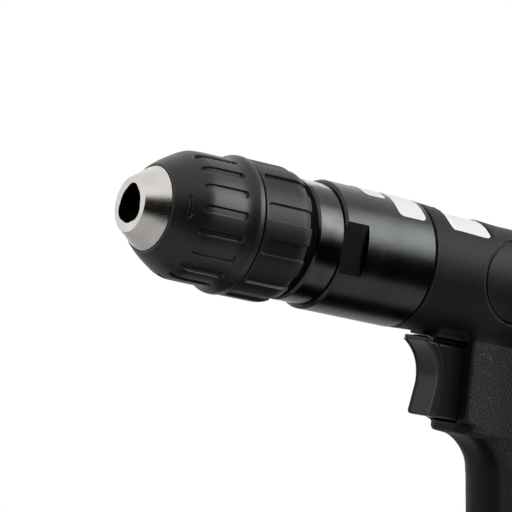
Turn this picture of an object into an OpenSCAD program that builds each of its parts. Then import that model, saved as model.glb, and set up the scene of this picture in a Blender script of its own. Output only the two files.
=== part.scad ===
// Pistol-grip air drill with a keyless three-jaw chuck, a planetary gear case and a vane motor.
// X runs forward out of the nose, Y to the tool's left and Z up, from the middle of the chuck's nose face.
// A value that ends in "at" is a distance behind the nose face, along the spindle's axis.

/* [Chuck body] */
// Step from the back of the nose cone in to the flat nose face
nose_cone_drop = 4.1; // [3.6:0.1:4.6]
// Length of the nose cone
nose_cone_len = 6.1; // [5:0.1:7]
// Radius of the bore that takes the bit
bit_bore_r = 5.4; // [5.2:0.05:5.5]
// Depth of that bore, down to the chuck screw
bit_bore_depth = 24; // [22:0.5:26]
// Where the groove for the jaw nut starts
nut_groove_at = 17.3; // [16.8:0.1:18]
// Depth of that groove
nut_groove_depth = 1.85; // [1.5:0.05:2.2]
// Length of the flange that the nut pushes on
thrust_flange_len = 6.4; // [5:0.1:6.6]
// Step from the chuck's tail in to the body before it
core_step = 2.6; // [2:0.1:3.2]
// Length of the tail
chuck_tail_len = 6.3; // [5:0.1:7]

/* [Jaws and nut] */
// Radius of a jaw
jaw_r = 3.5; // [3.3:0.05:3.6]
// Angle between a jaw and the spindle's axis
jaw_tilt = 15; // [14:0.5:15.5]
// Where the tips of the open jaws lie
jaw_tip_at = 18; // [17.8:0.1:19]
// Distance from the spindle's axis to the middle of a jaw's tip
jaw_axis_r = 7.2; // [7:0.05:7.4]
// Distance from the spindle's axis to the gripping edge of an open jaw
jaw_grip_r = 5.5; // [5.3:0.05:5.7]
// Thickness of the jaw nut at its thin end
nut_wall = 4.4; // [4:0.1:5]
// Length of the jaw nut
nut_len = 5; // [4:0.1:5.5]
// Thickness of a washer of the nut's thrust bearing
thrust_washer_t = 0.6; // [0.5:0.05:0.8]
// Radius of a ball of the nut's thrust bearing
thrust_ball_r = 0.85; // [0.7:0.05:0.95]
// Number of balls in the nut's thrust bearing
thrust_ball_count = 24; // [12:1:30]
// Length of the chuck screw's head
screw_head_len = 3; // [2.5:0.1:3.5]
// Radius of the chuck screw's head
screw_head_r = 5.05; // [4.9:0.05:5.15]
// Radius of the chuck screw's thread
screw_thread_r = 2.5; // [2:0.1:3]
// Length of the chuck screw's thread
screw_thread_len = 12; // [8:0.5:14]
// Radius over the corners of the screw's hexagon socket
screw_socket_r = 2.6; // [2:0.1:3]

/* [Chuck sleeves] */
// Where the turning front sleeve starts
sleeve_at = 6.3; // [6.2:0.1:6.6]
// Step from the gripped part of the front sleeve in to its lip
lip_drop = 5.9; // [5.6:0.05:6]
// Step from the lip in to the nose cone
lip_step = 0.65; // [0.5:0.05:0.8]
// Step from the gripped part in to where the sleeve's cone turns into its shoulder
shoulder_drop = 1.6; // [1.2:0.1:2.1]
// Where the sleeve's cone turns into its shoulder
shoulder_at = 12.5; // [12:0.1:13]
// Where the shoulder has run out
grip_sleeve_at = 18; // [17:0.1:19]
// Height of the raised band at the back of the front sleeve
band_height = 1.4; // [0.9:0.05:1.8]
// Length of the raised band
band_len = 3.6; // [3:0.1:4]
// Length over which the sleeve rises to the band
band_rise_len = 3; // [2.5:0.1:3.5]
// Where the front sleeve ends
sleeve_end_at = 32.1; // [32:0.05:32.2]
// Thickness of the front sleeve's wall
sleeve_wall = 2; // [1.9:0.05:2.1]
// Length of the land that carries the sleeve's front end
sleeve_land_len = 3; // [2:0.1:4]
// Number of finger slots on the front sleeve
slot_count = 18; // [12:1:20]
// Width of a finger slot
slot_w = 2.4; // [2:0.1:3]
// Where the finger slots start
slot_at = 13.3; // [13:0.1:14]
// Length of the land between the finger slots and the raised band
slot_land_len = 1; // [0.6:0.1:2]
// Depth of a finger slot
slot_depth = 0.75; // [0.5:0.05:1]
// Turn of the first finger slot from the top
slot_turn = 3; // [-10:0.5:10]
// Step from the raised band in to the rear sleeve
rear_sleeve_step = 0.3; // [0.05:0.05:0.5]
// Thickness of the rear sleeve's wall
rear_sleeve_wall = 2.3; // [2.2:0.05:2.5]
// Step over the rear sleeve's tapered back edge
rear_taper = 1; // [0.7:0.05:1.2]
// Length of the rear sleeve
rear_sleeve_len = 16.6; // [16:0.1:17]
// Length of the rear sleeve's tapered back edge
rear_taper_len = 3.4; // [2:0.1:4]
// Number of flutes on the rear sleeve
flute_count = 12; // [8:1:14]
// Width of a flute
flute_w = 5; // [3:0.1:5.4]
// Turn of the first flute from the top
flute_turn = 13.7; // [-15:0.1:15]
// Depth of a flute
flute_depth = 0.75; // [0.5:0.05:1]
// Distance from the rear sleeve's front edge to a flute's round end
flute_land_len = 0.8; // [0.6:0.1:2]
// Height of the ring behind the rear sleeve, over the chuck's tail
rear_ring_height = 0.6; // [0.5:0.05:1]
// Length of that ring
rear_ring_len = 2.1; // [1.5:0.1:3]
// Rounding of the sleeves' outer edges
sleeve_edge = 0.4; // [0.2:0.05:0.5]

/* [Gear case] */
// Gap between the chuck and the bearing cap
cap_gap = 0.7; // [0.5:0.05:1]
// Length of the bearing cap
cap_len = 8.4; // [7.5:0.1:9.5]
// Step from the gear case in to the bearing cap
cap_step = 1.2; // [0.8:0.05:1.6]
// Step from the case's spigot out to the case
spigot_step = 2.3; // [2.2:0.05:2.5]
// Visible length of the gear case
case_len = 31.4; // [30.6:0.1:32.4]
// Chamfer of the outer edges of the cap and the case
case_edge = 0.7; // [0.4:0.05:0.9]
// Thickness of the cap's spigot around the front bearing
cap_wall = 1.6; // [1.4:0.05:1.8]
// Length of the case's spigot, which is screwed into the housing
case_spigot_len = 7; // [6:0.1:7.6]
// Thickness of the gasket between the gear case and the housing
gasket_t = 0.9; // [0.6:0.05:1.1]
// Depth of the gasket's rim under the gear case's outside
gasket_inset = 0.8; // [0.4:0.05:1]
// Thickness of the case's spigot around the ring gear
spigot_wall = 1.95; // [1.8:0.05:2.2]
// Thickness of the ring gear behind its teeth
ring_gear_wall = 1.675; // [1.5:0.025:1.8]
// Depth of a spanner flat
flat_depth = 1.55; // [1.2:0.05:1.8]
// Length of the spanner flats, from the front of the case
flats_len = 7.8; // [6:0.1:9]

/* [Spindle and bearings] */
// Radius of the spindle's thread in the chuck
spindle_thread_r = 4.7; // [4.6:0.02:4.8]
// Radius of the shoulder that the chuck is screwed against
spindle_shoulder_r = 8.2; // [7.8:0.1:8.4]
// Radius of the spindle in its seal
spindle_seal_r = 7; // [6.6:0.05:7.3]
// Radius of the spindle in its bearings
spindle_r = 6; // [5.8:0.05:6.2]
// Outer radius of the spindle's front bearing
front_bearing_r = 14; // [13.6:0.05:14.2]
// Width of the spindle's front bearing
front_bearing_w = 8; // [7:0.1:8.5]
// Outer radius of the spindle's rear bearing
rear_bearing_r = 10.5; // [10.2:0.05:10.8]
// Width of the spindle's rear bearing
rear_bearing_w = 5; // [4.5:0.1:5.5]
// Outer radius of the shaft seal
seal_r = 10; // [9.6:0.05:10.4]
// Width of the shaft seal
seal_w = 4; // [3.5:0.1:4.4]
// Width of a rotor bearing
rotor_bearing_w = 6; // [5.5:0.1:6.5]
// Outer radius of a rotor bearing
rotor_bearing_r = 9.5; // [9.2:0.05:9.8]
// Radius of the rotor in its bearings
rotor_journal_r = 3.5; // [3.3:0.05:3.7]
// Number of balls in a bearing
bearing_ball_count = 8; // [6:1:9]

/* [Gears] */
// Module of the gears' teeth
gear_module = 0.55; // [0.53:0.005:0.56]
// Teeth of the pinion on the rotor
sun_teeth = 9; // [9:9:9]
// Teeth of a planet gear
planet_teeth = 18; // [18:18:18]
// Width of the planet gears
gear_w = 8; // [7:0.1:8.5]
// Angle of pressure of the teeth
pressure_angle = 25; // [24:0.5:26]
// Play between two teeth that mesh
backlash = 0.12; // [0.1:0.01:0.15]
// Radius of a planet's pin
planet_pin_r = 1.8; // [1.5:0.05:2]
// Thickness of the planet carrier outside its pins
carrier_rim = 2.275; // [1.8:0.025:2.4]
// Thickness of the planet carrier
carrier_t = 3.5; // [3:0.1:4]

/* [Motor] */
// Thickness of the housing's wall around the motor
barrel_wall = 1.9; // [1.8:0.05:2.1]
// Mean thickness of the liner's wall
liner_wall = 2.7; // [2.5:0.05:2.9]
// Height of the liner's bore above the spindle's axis
liner_offset = 0.9; // [0.7:0.05:1]
// Length of the liner
liner_len = 35.8; // [34:0.1:37]
// Step from the liner's bore in to the rotor
rotor_clearance = 1.2; // [1.1:0.05:1.4]
// Number of blades
blade_count = 5; // [4:1:6]
// Thickness of a blade
blade_t = 1.5; // [1.2:0.05:1.8]
// Height of a blade, as a share of the rotor's height over its journals
blade_share = 0.7; // [0.6:0.01:0.75]
// Thickness of an end plate's wall on the liner
plate_wall = 2.1; // [1.8:0.1:2.5]
// Radius of the pin that keeps the liner from turning
liner_pin_r = 1; // [0.8:0.05:1.2]
// Thickness of the spring washer behind the motor
spring_washer_t = 1; // [0.8:0.05:1.2]

/* [Housing] */
// Step from the gear case in to the housing's front
collar_step = 0.15; // [0.1:0.05:0.4]
// Drop of the barrel's radius over its taper
barrel_taper = 1.55; // [1.3:0.05:1.8]
// Length over which the housing's barrel tapers
barrel_taper_len = 31; // [28:0.5:34]
// End of the housing's round back, behind the housing's front face
housing_len = 72.9; // [70:0.1:76]
// Length of the housing's round back
housing_dome_len = 18; // [16:0.5:20]
// Place where the grip's axis meets the spindle's axis, behind the housing's front face
grip_back = 46.6; // [45:0.1:48]
// Angle by which the grip leans back
grip_rake = 13; // [11:0.5:14]
// Length of the grip along its axis, from the spindle's axis to the base
grip_len = 111; // [105:0.5:116]
// Depth of the grip from front to back
grip_depth = 36; // [34:0.5:37]
// Width of the grip
grip_w = 30; // [29:0.5:32]
// Rounding of the grip's corners
grip_corner = 12; // [10:0.5:13]
// Width of the block around the trigger
saddle_w = 22.6; // [21:0.2:24]
// Front of that block under the barrel, behind the housing's front face
saddle_top_back = 22.1; // [21.4:0.1:22.9]
// Front of that block under the trigger, behind the housing's front face
saddle_low_back = 26.5; // [25.9:0.1:27.4]
// Thickness of that block's floor under the trigger
saddle_floor = 3.4; // [2.6:0.1:4]
// Rounding of that block's corners
saddle_corner = 2; // [1:0.5:3]
// Radius of the curve between the block and the grip
finger_curve_r = 10; // [8:0.5:11]

/* [Trigger] */
// Width of the trigger
trigger_w = 12; // [11:0.1:12.4]
// Travel of the trigger
trigger_travel = 6; // [5:0.1:6.2]
// Upper tip of the trigger, behind the housing's front face
trigger_tip_back = 11.3; // [10.7:0.1:11.9]
// Hollow of the trigger's front, behind the housing's front face
trigger_waist_back = 17.2; // [16.9:0.1:17.6]
// Lower front edge of the trigger, behind the housing's front face
trigger_low_back = 16.4; // [16:0.1:16.8]
// Height of the trigger
trigger_h = 21.4; // [20.6:0.1:21.6]
// Gap between the reverse lever and the trigger's top
trigger_gap = 0.2; // [0.15:0.05:0.4]
// Back of the trigger, behind the housing's front face
trigger_back = 30.9; // [30:0.1:31.4]
// Height of the trigger's top above the throttle valve's axis
throttle_depth = 10.5; // [10:0.1:11]
// Outer radius of the throttle's bushing
throttle_bushing_r = 5; // [4.6:0.05:5.2]
// Inner radius of the throttle's bushing
throttle_bore_r = 3.2; // [3:0.05:3.4]
// Radius of the throttle's stem
stem_r = 1.5; // [1.3:0.05:1.6]
// End of the throttle's bushing, behind the housing's front face
throttle_back = 63.9; // [63:0.1:65]
// Valve on the throttle's stem, behind the housing's front face
valve_back = 47.4; // [47:0.1:48]
// Length of the valve on the throttle's stem
valve_len = 3; // [2.5:0.1:3.4]
// Radius of the pin that holds the stem in the trigger
trigger_pin_r = 0.75; // [0.6:0.05:0.9]

/* [Reverse lever] */
// Pivot of the reverse lever, behind the housing's front face
lever_pivot_back = 44.9; // [44:0.1:45.4]
// Front of the lever's cross bar, behind the housing's front face
lever_bar_back = 11; // [10.6:0.1:11.4]
// Length of the cross bar along the spindle's axis
lever_bar_len = 2.4; // [2.2:0.1:2.8]
// Width over the two ends of the cross bar
lever_bar_w = 13; // [12:0.1:14]
// Width of the lever's arm
lever_arm_w = 5; // [4.5:0.1:5.2]
// Thickness of the lever
lever_t = 1.2; // [1.1:0.05:1.4]
// Front of the rib under the barrel, above the lever, behind the housing's front face
rib_back = 13.5; // [12.5:0.1:14.5]
// Width of that rib
rib_w = 15; // [13:0.1:16]
// Gap between the housing's barrel and the lever
lever_gap = 2.1; // [2:0.05:2.3]
// Radius of the lever's hub
lever_hub_r = 5.5; // [5.2:0.05:5.7]
// Radius of the reverse valve on the lever's hub
reverse_valve_r = 4; // [3.8:0.05:4.2]
// Height of the reverse valve
reverse_valve_h = 2.5; // [2.2:0.05:2.6]
// Radius of the lever's lower pivot
lever_stub_r = 2.5; // [2.2:0.05:2.8]
// Height of the lever's lower pivot
lever_stub_h = 4; // [3:0.1:4.4]
// Outer radius of the reverse valve's bushing
reverse_bushing_r = 5.9; // [5.7:0.05:6.1]
// Angle by which the lever swings to either side
lever_swing = 12; // [8:0.5:12]

/* [Air inlet and exhaust] */
// Radius of the thread that takes the air fitting
inlet_thread_r = 5.75; // [5.5:0.05:5.9]
// Depth of that thread
inlet_thread_len = 12; // [10:0.5:13]
// Radius of the air way above the thread
inlet_way_r = 4.5; // [4:0.1:4.8]
// Radius of the inlet bushing's shank
inlet_shank_r = 7.5; // [7.2:0.05:7.7]
// Length of the shank's thread in the housing
inlet_screwed_len = 14; // [12:0.5:16]
// Distance over the flats of the inlet bushing's hexagon
inlet_hex_w = 22; // [20:0.5:24]
// Height of that hexagon
inlet_hex_h = 8; // [7:0.1:10]
// Thickness of the inlet's screen
screen_t = 1; // [0.8:0.05:1.2]
// Number of holes across the screen
screen_holes = 5; // [3:2:7]
// Radius of the exhaust room in the base of the grip
exhaust_room_r = 12.4; // [12:0.05:12.6]
// Height of the exhaust room
exhaust_room_h = 24; // [22:0.5:26]
// Height of the felt silencer in that room
felt_h = 16; // [12:0.5:20]
// Outer radius of the turning exhaust deflector
deflector_r = 14.6; // [14.2:0.05:14.9]
// Height of the deflector
deflector_h = 8.8; // [8:0.1:10]
// Thickness of the deflector's wall
deflector_wall = 1.6; // [1.4:0.05:2]
// Number of outlet slots in the deflector
outlet_count = 7; // [5:1:9]
// Width of an outlet slot
outlet_w = 2.2; // [1.8:0.1:2.6]
// Radius of an exhaust way down the grip
exhaust_way_r = 2.6; // [2.2:0.05:2.7]
// Distance from the middle of the grip to an exhaust way
exhaust_way_y = 9.5; // [9.4:0.05:9.8]

/* [Labels and badges] */
// Thickness of a label
label_t = 0.12; // [0.1:0.01:0.2]
// Front of the small label, behind the front of the gear case
small_label_back = 10.3; // [9.8:0.1:10.9]
// Length of the small label
small_label_len = 7.6; // [6:0.1:8]
// Angle from the middle of the small label to its edge
small_label_angle = 28; // [20:1:32]
// Front of the large label, behind the front of the gear case
case_label_back = 19.9; // [19.4:0.1:20.4]
// Length of the large label
case_label_len = 9.8; // [9:0.1:10.4]
// Angle from the middle of the large label to its edge
case_label_angle = 48; // [40:1:50]
// Front of the housing's label, behind the housing's front face
housing_label_back = 6.5; // [6.3:0.1:7.5]
// Length of the label on the housing
housing_label_len = 15.2; // [14:0.1:16]
// Angle from the middle of the housing's label to its edge
housing_label_angle = 47; // [40:1:50]
// Middle of a side badge, behind the housing's front face
badge_back = 37.2; // [36:0.1:38.4]
// Length of a side badge
badge_len = 36; // [32:0.5:38]
// Height of a side badge
badge_h = 25.2; // [22:0.2:26]
// Height of a side badge's middle above the spindle's axis
badge_lift = 1.2; // [0:0.1:2]
// Depth of the pocket that a side badge lies in
badge_pocket = 0.6; // [0.4:0.05:0.8]
// Thickness of a side badge
badge_t = 0.45; // [0.3:0.05:0.5]

/* [Hidden] */
$fn = 64;
// Clearances: a shaft in its bore, a piece in its seat, two faces, and two pieces that must not meet
running_gap = 0.05;
seat_gap = 0.02;
face_gap = 0.2;
free_gap = 0.3;
// Overrun of a cut past the surface that it opens
overrun = 1;
// Straight pieces in a round end or a bend
arc_steps = 6;
bend_steps = 8;
flank_steps = 4;
jaw_turns = [0, 120, 240];
// Parts of a ball bearing, as shares of its height between bore and rim
ball_share = 0.3;
land_share = 0.16;
// Heights of a gear tooth above and below its pitch circle, as shares of the module
addendum_share = 0.8;
dedendum_share = 1;

// Chuck, from the nose back
screw_head_at = bit_bore_depth;
screw_seat_at = screw_head_at + screw_head_len;
nut_at = nut_groove_at + face_gap;
nut_end_at = nut_at + nut_len;
thrust_ball_at = nut_end_at + face_gap / 2 + thrust_washer_t + running_gap + thrust_ball_r;
thrust_face_at = thrust_ball_at + thrust_ball_r + running_gap + thrust_washer_t + face_gap / 2;
thrust_end_at = thrust_face_at + thrust_flange_len;
band_at = sleeve_end_at - band_len;
slot_len = band_at - slot_land_len - slot_at;
rear_sleeve_at = sleeve_end_at + 1.5 * face_gap;
rear_sleeve_end_at = rear_sleeve_at + rear_sleeve_len;
rear_ring_at = rear_sleeve_end_at + face_gap;
chuck_len = rear_ring_at + rear_ring_len;
chuck_tail_at = chuck_len - chuck_tail_len;

// Chuck, from the jaws out to the sleeves
jaw_slope = tan(jaw_tilt);
jaw_reach = jaw_r / cos(jaw_tilt) + 3 * running_gap;
sleeve_bore_r = jaw_outer_r(nut_end_at) + nut_wall + seat_gap;
thrust_flange_r = sleeve_bore_r - face_gap;
thrust_ball_ring_r = (jaw_outer_r(thrust_face_at) + sleeve_bore_r) / 2;
grip_sleeve_r = sleeve_bore_r + sleeve_wall;
shoulder_r = grip_sleeve_r - shoulder_drop;
sleeve_lip_r = grip_sleeve_r - lip_drop;
nose_cone_r = sleeve_lip_r - lip_step;
nose_r = nose_cone_r - nose_cone_drop;
nut_groove_r = nose_cone_r - nut_groove_depth;
band_r = grip_sleeve_r + band_height;
rear_sleeve_r = band_r - rear_sleeve_step;
rear_sleeve_back_r = rear_sleeve_r - rear_taper;
chuck_tail_r = rear_sleeve_r - rear_sleeve_wall;
chuck_core_r = chuck_tail_r - core_step;
rear_ring_r = chuck_tail_r + rear_ring_height;
jaw_len = (chuck_tail_r - free_gap - jaw_axis_r - jaw_reach) / sin(jaw_tilt);

// Gears, and the radii of the case around them
ring_teeth = sun_teeth + 2 * planet_teeth;
planet_ring_r = gear_module * (sun_teeth + planet_teeth) / 2;
carrier_r = planet_ring_r + planet_pin_r + carrier_rim;
ring_gear_r = gear_module * (ring_teeth / 2 + dedendum_share) + ring_gear_wall;
case_spigot_r = ring_gear_r + running_gap + spigot_wall;
case_r = case_spigot_r + spigot_step;
cap_r = case_r - cap_step;
cap_spigot_r = front_bearing_r + cap_wall;

// Gear case, from the bearing cap back
cap_at = chuck_len + cap_gap;
cap_end_at = cap_at + cap_len;
case_at = cap_end_at + free_gap;
seal_pocket_at = cap_at + face_gap + spindle_shoulder_len();
front_bearing_at = seal_pocket_at + seal_w + face_gap + seal_room();
front_bearing_end_at = front_bearing_at + front_bearing_w;
case_web_at = front_bearing_end_at + face_gap;
case_end_at = case_at + case_len;
case_spigot_end_at = case_end_at + case_spigot_len;
gear_at = case_end_at - gear_w - 3 * face_gap - ring_gear_margin();
gear_end_at = gear_at + gear_w;
carrier_end_at = gear_at - free_gap;
carrier_at = carrier_end_at - carrier_t;
ring_stop_at = gear_at - face_gap;
rear_bearing_end_at = carrier_at - 3 * free_gap;
rear_bearing_at = rear_bearing_end_at - rear_bearing_w;
ring_gear_end_at = gear_end_at + 2 * face_gap;

// Radii of the housing's barrel and the motor in it
housing_front_r = case_r - collar_step;
housing_r = housing_front_r - barrel_taper;
liner_r = housing_r - barrel_wall;
liner_bore_r = liner_r - liner_wall;
rotor_r = liner_bore_r - rotor_clearance;
rotor_neck_r = gear_module * sun_teeth / 2 - running_gap;
blade_h = blade_share * (rotor_r - rotor_journal_r);

// Motor, from the gear case back
plate_at = case_spigot_end_at + face_gap;
plate_len = rotor_bearing_w + face_gap + plate_wall;
liner_at = plate_at + plate_len;
liner_end_at = liner_at + liner_len;
rear_plate_end_at = liner_end_at + plate_len;
rotor_front_bearing_at = plate_at + face_gap / 2;
rotor_rear_bearing_at = rear_plate_end_at - face_gap / 2 - rotor_bearing_w;
rotor_at = liner_at + free_gap;
rotor_end_at = liner_end_at - free_gap;
spring_washer_at = rear_plate_end_at + face_gap;
motor_bore_r = liner_r + running_gap;
motor_bore_end_at = spring_washer_at + spring_washer_t + face_gap;
liner_pin_drop = (liner_r + liner_bore_r - liner_offset) / 2;

// Housing and handle, from the gear case back
housing_at = case_end_at + gasket_t + face_gap / 2;
housing_end_at = housing_at + housing_len;
grip_at = housing_at + grip_back;
saddle_top_at = housing_at + saddle_top_back;
saddle_low_at = housing_at + saddle_low_back;
trigger_tip_at = housing_at + trigger_tip_back;
trigger_waist_at = housing_at + trigger_waist_back;
trigger_low_at = housing_at + trigger_low_back;
trigger_back_at = housing_at + trigger_back;
throttle_end_at = housing_at + throttle_back;
valve_at = housing_at + valve_back;
lever_pivot_at = housing_at + lever_pivot_back;
lever_bar_at = housing_at + lever_bar_back;
small_label_at = case_at + small_label_back;
case_label_at = case_at + case_label_back;
housing_label_at = housing_at + housing_label_back;
badge_at = housing_at + badge_back;
pocket_w = trigger_w + 2 * free_gap;
pocket_end_at = trigger_back_at + trigger_travel + 2 * face_gap;
pocket_h = trigger_h + 2 * free_gap;
throttle_at = pocket_end_at;
spring_at = valve_at + valve_len;
throttle_cap_t = throttle_bushing_r - throttle_bore_r;
lever_drop = housing_r + lever_gap;
lever_low = lever_drop + lever_t;
trigger_drop = lever_low + trigger_gap;
throttle_drop = trigger_drop + throttle_depth;
saddle_drop = trigger_drop + trigger_h + saddle_floor;
reverse_bushing_drop = lever_drop - face_gap;
reverse_bushing_h = reverse_valve_h - face_gap;
stem_at = trigger_waist_at + stem_r + trigger_pin_r + trigger_travel;
trigger_pin_at = (stem_at + trigger_back_at) / 2;
inlet_hex_r = inlet_hex_w / 2 / cos(30);
deflector_z = -grip_len - free_gap - deflector_h;
inlet_hex_z = deflector_z - free_gap;
inlet_low_z = inlet_hex_z - inlet_hex_h;
inlet_top_z = -grip_len + exhaust_room_h + inlet_screwed_len;
screen_z = inlet_low_z + inlet_thread_len + face_gap / 2;
screen_r = (inlet_thread_r + inlet_way_r) / 2;

// Largest distance from the spindle's axis that a jaw needs at a place behind the nose face
function jaw_outer_r(at) = jaw_axis_r + (at - jaw_tip_at) * jaw_slope + jaw_reach;
// Length of the spindle's shoulder, which runs in the lip of the bearing cap
function spindle_shoulder_len() = spindle_seal_r / 6;
// Room between the shaft seal and the front bearing
function seal_room() = front_bearing_w / 16;
// Room for the spacer behind the ring gear
function ring_gear_margin() = gear_w / 8;
// Curve from a to c that is drawn towards b
function bend(a, b, c) = [for (i = [0 : bend_steps])
    let (t = i / bend_steps) (1 - t) * (1 - t) * a + 2 * t * (1 - t) * b + t * t * c];
// Outline with two round ends, along the first axis
function stadium(length, width) = concat(
    [for (i = [0 : arc_steps]) let (a = -90 + 180 * i / arc_steps)
        [(length - width) / 2 + width / 2 * cos(a), width / 2 * sin(a)]],
    [for (i = [0 : arc_steps]) let (a = 90 + 180 * i / arc_steps)
        [(width - length) / 2 + width / 2 * cos(a), width / 2 * sin(a)]]);
// Outline of an ellipse
function oval(length, width) = [for (i = [0 : 8 * arc_steps - 1]) let (a = 360 * i / (8 * arc_steps))
    [length / 2 * cos(a), width / 2 * sin(a)]];
// Angle that an involute has run through at the radius r, in degrees
function involute(base_r, r) = let (a = acos(min(1, base_r / r))) tan(a) * 180 / PI - a;
// Angle from the middle of a tooth to its flank at the radius r; play above zero makes the tooth thinner
function half_tooth(teeth, r, play) =
    let (pitch_r = gear_module * teeth / 2, base_r = pitch_r * cos(pressure_angle))
    90 / teeth - play / 4 / pitch_r * 180 / PI
    + involute(base_r, pitch_r) - involute(base_r, max(r, base_r));
// Outline of a gear between two radii
function gear_outline(teeth, low_r, high_r, play) = [for (i = [0 : teeth - 1]) each concat(
    [for (j = [0 : flank_steps]) let (r = low_r + (high_r - low_r) * j / flank_steps,
        a = 360 * i / teeth - half_tooth(teeth, r, play)) [r * cos(a), r * sin(a)]],
    [for (j = [0 : flank_steps]) let (r = high_r - (high_r - low_r) * j / flank_steps,
        a = 360 * i / teeth + half_tooth(teeth, r, play)) [r * cos(a), r * sin(a)]])];

// Turns a shape whose own Z runs backwards from the nose face onto the spindle's axis
module on_axis() {
    rotate([0, -90, 0]) children();
}

// A solid turned from an outline of radii and distances behind the nose face
module turned(outline) {
    on_axis() rotate_extrude() polygon(outline);
}

// A rod or, with an inner radius, a ring on the spindle's axis
module ring(outer_r, inner_r, from_at, to_at) {
    on_axis() difference() {
        translate([0, 0, from_at]) cylinder(r = outer_r, h = to_at - from_at);
        if (inner_r > 0)
            translate([0, 0, from_at - overrun]) cylinder(r = inner_r, h = to_at - from_at + 2 * overrun);
    }
}

// Children placed around the spindle's axis, the first at an angle from the top
module around(count, first_turn) {
    for (i = [0 : count - 1])
        on_axis() rotate([0, 0, first_turn + 360 * i / count]) children();
}

// Frame of the grip: Z runs up the grip's own axis from where it meets the spindle's axis
module on_grip() {
    translate([-grip_at, 0, 0]) rotate([0, grip_rake, 0]) children();
}

// Frame of a jaw: Z runs backwards along the jaw from the middle of its tip
module on_jaw(turn) {
    on_axis() rotate([0, 0, turn]) translate([jaw_axis_r, 0, jaw_tip_at]) rotate([0, jaw_tilt, 0]) children();
}

// Rod along the throttle's axis
module throttle_rod(r, from_at, to_at) {
    translate([0, 0, -throttle_drop]) on_axis() translate([0, 0, from_at]) cylinder(r = r, h = to_at - from_at);
}

// One ring of a ball bearing, grooved for its balls
module bearing_ring(outer_r, inner_r, pitch_r, ball_r, from_at, width) {
    difference() {
        ring(outer_r, inner_r, from_at, from_at + width);
        on_axis() translate([0, 0, from_at + width / 2]) rotate_extrude()
            translate([pitch_r, 0]) circle(r = ball_r + running_gap);
    }
}

module bearing_outer(bore_r, outer_r, from_at, width) {
    height = outer_r - bore_r;
    pitch_r = (outer_r + bore_r) / 2;
    bearing_ring(outer_r - seat_gap, pitch_r + land_share * height, pitch_r, ball_share * height,
        from_at, width);
}

module bearing_inner(bore_r, outer_r, from_at, width) {
    height = outer_r - bore_r;
    pitch_r = (outer_r + bore_r) / 2;
    bearing_ring(pitch_r - land_share * height, bore_r + seat_gap, pitch_r, ball_share * height,
        from_at, width);
}

module bearing_balls(bore_r, outer_r, from_at, width) {
    around(bearing_ball_count, 0) translate([(outer_r + bore_r) / 2, 0, from_at + width / 2])
        sphere(r = ball_share * (outer_r - bore_r));
}

// Part of a ring on top of the tool, within an angle to each side
module patch(outer_r, inner_r, from_at, length, angle) {
    intersection() {
        ring(outer_r, inner_r, from_at, from_at + length);
        on_axis() translate([0, 0, from_at - overrun]) linear_extrude(length + 2 * overrun)
            polygon(2 * outer_r * [[0, 0], [1, -tan(angle)], [1, tan(angle)]]);
    }
}

// Curved label on a round surface
module label(surface_r, from_at, length, angle) {
    patch(surface_r + seat_gap + label_t, surface_r + seat_gap, from_at, length, angle);
}

// Oval prism that points sideways out of the housing: side is 1 on the left and -1 on the right
module side_oval(side, inset) {
    translate([-badge_at, 0, badge_lift]) rotate([-90 * side, 0, 0])
        linear_extrude(2 * housing_r) polygon(oval(badge_len - 2 * inset, badge_h - 2 * inset));
}

module chuck_body() {
    color("silver") difference() {
        turned([[0, 0], [nose_r, 0], [nose_cone_r, nose_cone_len], [nose_cone_r, nut_groove_at],
            [nut_groove_r, nut_groove_at], [nut_groove_r, thrust_face_at], [thrust_flange_r, thrust_face_at],
            [thrust_flange_r, thrust_end_at], [chuck_core_r, thrust_end_at], [chuck_core_r, chuck_tail_at],
            [chuck_tail_r, chuck_tail_at], [chuck_tail_r, chuck_len], [0, chuck_len]]);
        ring(bit_bore_r, 0, -overrun, bit_bore_depth);
        ring(screw_head_r + running_gap, 0, bit_bore_depth - overrun, screw_seat_at);
        ring(spindle_thread_r + running_gap, 0, screw_seat_at - overrun, chuck_len + overrun);
        for (turn = jaw_turns)
            on_jaw(turn) translate([0, 0, -jaw_len])
                cylinder(r = jaw_r + running_gap, h = 2 * jaw_len + overrun);
    }
}

// A jaw: a slanting rod with a square tip and two faces that leave room for the other jaws
module jaw(turn) {
    color("gray") difference() {
        on_jaw(turn) translate([0, 0, -jaw_r]) cylinder(r = jaw_r, h = jaw_len + jaw_r);
        on_axis() rotate([0, 0, turn]) translate([0, -jaw_axis_r, jaw_tip_at - jaw_axis_r])
            cube([2 * jaw_axis_r, 2 * jaw_axis_r, jaw_axis_r]);
        on_axis() rotate([0, 0, turn]) translate([0, 0, jaw_tip_at - jaw_axis_r])
            linear_extrude(jaw_len) polygon([[0, -2 * jaw_r], [jaw_grip_r + 2 * jaw_r * tan(30), -2 * jaw_r],
                [jaw_grip_r, 0], [jaw_grip_r + 2 * jaw_r * tan(30), 2 * jaw_r], [0, 2 * jaw_r]]);
    }
}

module jaw_1() {
    jaw(jaw_turns[0]);
}

module jaw_2() {
    jaw(jaw_turns[1]);
}

module jaw_3() {
    jaw(jaw_turns[2]);
}

// The nut's cone clears the jaws, whose threads it drives
module jaw_nut() {
    color("darkgray") turned([[jaw_outer_r(nut_at), nut_at], [sleeve_bore_r - seat_gap, nut_at],
        [sleeve_bore_r - seat_gap, nut_end_at], [jaw_outer_r(nut_end_at), nut_end_at]]);
}

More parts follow.
